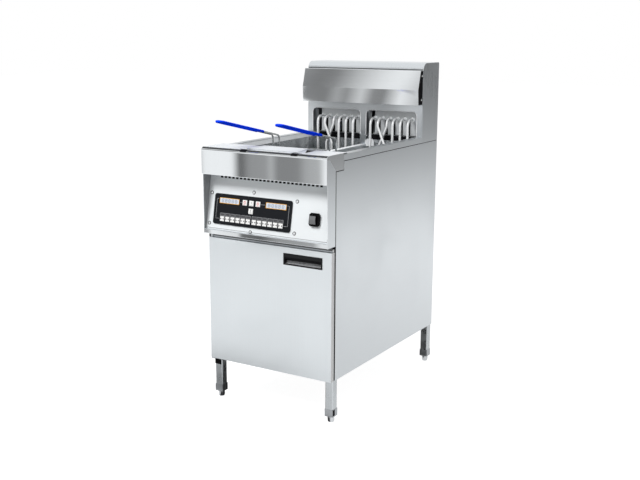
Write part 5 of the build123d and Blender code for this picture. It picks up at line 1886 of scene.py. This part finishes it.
@dataclass
class Studio:
    """Camera at the photograph's viewpoint, pale floor, plain soft light and reflector cards."""

    camera_at: Spot = (1.77508, -2.96851, 1.28791)
    pitch_deg: float = 77.63
    yaw_deg: float = 32.18
    lens: float = 55.06
    sensor: float = 36.0
    clip_end: float = 60.0
    shift: Pair = (0.0339, 0.0052)
    ambient: float = 0.28
    floor_half: float = 20.0
    floor_seen: float = 0.93
    floor_mirrored: float = 0.69
    floor_colour: float = 0.30
    aim: Spot = (0.0, 0.0, 0.6)

    def build(self) -> None:
        """Set up the camera, the world, the floor, the lamps and the cards."""
        bpy.context.scene.view_settings.view_transform = "Standard"
        self.camera()
        self.world()
        self.floor()
        self.lamp("key_lamp", (-1.6, -3.4, 4.4), 1.8, 300.0)
        self.lamp("fill_lamp", (3.2, -2.8, 2.6), 2.6, 25.0)
        self.lamp("top_lamp", (0.0, 0.4, 4.2), 3.0, 60.0)
        for card in self.cards():
            card.hang()

    def cards(self) -> list[Card]:
        """List what the steel mirrors: beside the cabinet, before the nose, above it and below.

        Returns:
            The cards.
        """
        nose = (
            (0.0, 0.4), (0.06, 1.0), (0.27, 1.0), (0.33, 0.1), (0.40, 0.33), (0.52, 0.35),
            (0.56, 0.5), (0.61, 0.26), (0.75, 0.27), (0.81, 0.44), (0.90, 0.48), (0.94, 1.0),
        )
        hood = ((0.3, 0.3), (0.47, 0.1), (0.54, 0.45), (0.73, 1.0), (0.79, 1.0), (0.84, 0.55))
        hood_low = (
            (0.0, 0.24), (0.2, 0.22), (0.3, 0.4), (0.38, 0.3), (0.5, 0.65), (0.6, 0.27),
            (0.68, 0.25), (0.82, 0.9), (1.0, 0.5),
        )
        side = ((0.0, 0.95), (0.05, 0.85), (0.12, 0.40), (0.22, 0.25), (0.45, 0.13), (1.0, 0.10))
        side_floor = ((0.0, 0.80), (0.15, 0.85), (0.55, 1.08), (1.0, 1.05))
        lip = (
            (0.04, 0.4), (0.08, 1.0), (0.29, 0.84), (0.33, 0.18), (0.48, 0.14), (0.6, 0.34),
            (0.88, 0.42), (0.94, 0.9),
        )
        leg = ((0.0, 0.28), (0.45, 0.32), (0.70, 0.80), (1.0, 0.90))
        black = ((0.0, 0.006), (1.0, 0.006))
        return [
            Card("nose_card", (-1.70, -2.87, 0.56), (90, 0, 0), (1.05, 0.86), nose),
            Card("hood_card", (-2.10, -2.87, 2.75), (90, 18, 0), (1.9, 1.5), hood),
            Card("hood_low_card", (-0.1145, 0.06, 0.985), (90, 20, 0), (0.52, 0.20), hood_low),
            Card("side_card", (2.0, 3.6, 1.25), (90, -90, 90), (2.5, 7.0), side),
            Card("side_floor_card", (1.16, 1.78, 0.0025), (0, 0, 62.7), (4.0, 3.0), side_floor),
            Card("lip_card", (-0.0589, -0.45, 0.591), (90, 0, 0), (0.52, 0.05), lip),
            Card("leg_card", (-0.12, -0.51, 0.004), (0, 0, 0), (0.90, 0.32), leg),
            Card("under_card", (0.0, 0.02, 0.003), (0, 0, 0), (0.46, 0.76), black),
        ]

    def camera(self) -> None:
        """Place the camera and make it the scene's own."""
        data = bpy.data.cameras.new("camera")
        data.lens = self.lens
        data.sensor_width = self.sensor
        data.shift_x, data.shift_y = self.shift
        data.clip_end = self.clip_end
        camera = put("camera", data)
        camera.location = self.camera_at
        camera.rotation_euler = (math.radians(self.pitch_deg), 0.0, math.radians(self.yaw_deg))
        bpy.context.scene.camera = camera

    @staticmethod
    def seen(tree: Tree, direct: float, mirrored: float) -> Socket:
        """Level for camera and transmission rays, another for glossy rays, and 0 for the others.

        Args:
            tree: Tree to place the nodes in.
            direct: Level for camera and transmission rays.
            mirrored: Level for glossy rays.

        Returns:
            The socket with the level.
        """
        path = add_node(tree, "LightPath").outputs
        total: Socket | float = 0.0
        for ray, level in (("Camera", direct), ("Transmission", direct), ("Glossy", mirrored)):
            terms = {0: path[f"Is {ray} Ray"], 1: level, 2: total}
            total = add_node(tree, "Math", terms, operation="MULTIPLY_ADD").outputs["Value"]
        return total

    def world(self) -> None:
        """White where it is seen or mirrored, and a plain ambient level elsewhere."""
        world = bpy.data.worlds.new("studio_world")
        world.use_nodes = True
        tree = world.node_tree
        back = tree.nodes["Background"]
        back.inputs["Color"].default_value = (1.0, 1.0, 1.0, 1.0)
        levels = {0: self.seen(tree, 1.0, 1.0), 1: self.ambient}
        level = add_node(tree, "Math", levels, operation="MAXIMUM")
        tree.links.new(level.outputs["Value"], back.inputs["Strength"])
        bpy.context.scene.world = world

    def floor(self) -> None:
        """Lay a pale floor whose open surface is white and which keeps the shadow."""
        material, tree, surface = bare_material("floor_white")
        diffuse = add_node(tree, "BsdfDiffuse", {"Color": (*[self.floor_colour] * 3, 1.0)})
        seen = self.seen(tree, self.floor_seen, self.floor_mirrored)
        glow = add_node(tree, "Emission", {"Strength": seen})
        both = add_node(tree, "AddShader", {0: diffuse.outputs[0], 1: glow.outputs[0]})
        tree.links.new(both.outputs[0], surface)
        floor = lay_plane("floor", self.floor_half, material)

    def lamp(self, name: str, spot: Spot, size: float, watts: float) -> None:
        """Hang one soft square lamp that looks at the middle of the fryer.

        Args:
            name: Name of the lamp.
            spot: Its place in metres.
            size: Length of its sides in metres.
            watts: Its power.
        """
        data = bpy.data.lights.new(name, "AREA")
        data.size = size
        data.energy = watts
        lamp = put(name, data)
        lamp.location = spot
        heading = Vector(self.aim) - Vector(spot)
        lamp.rotation_euler = heading.to_track_quat("-Z", "Y").to_euler()
        lamp.visible_glossy = False


def main() -> None:
    """Load the frame, set up the studio and build every sub-assembly on it."""
    logging.basicConfig(level=logging.INFO, format="%(name)s: %(message)s")
    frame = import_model()
    SubAssembly.set_frame(frame)
    Studio().build()
    shell = [Cabinet(), Nose(), ControlFront(), Tanks(), Riser(), Heaters()]
    baskets = [Basket(side, sign * TANK_X) for side, sign in SIDES]
    for assembly in [*shell, *baskets, Door(), Drains()]:
        assembly.build()


if __name__ == "__main__":
    main()
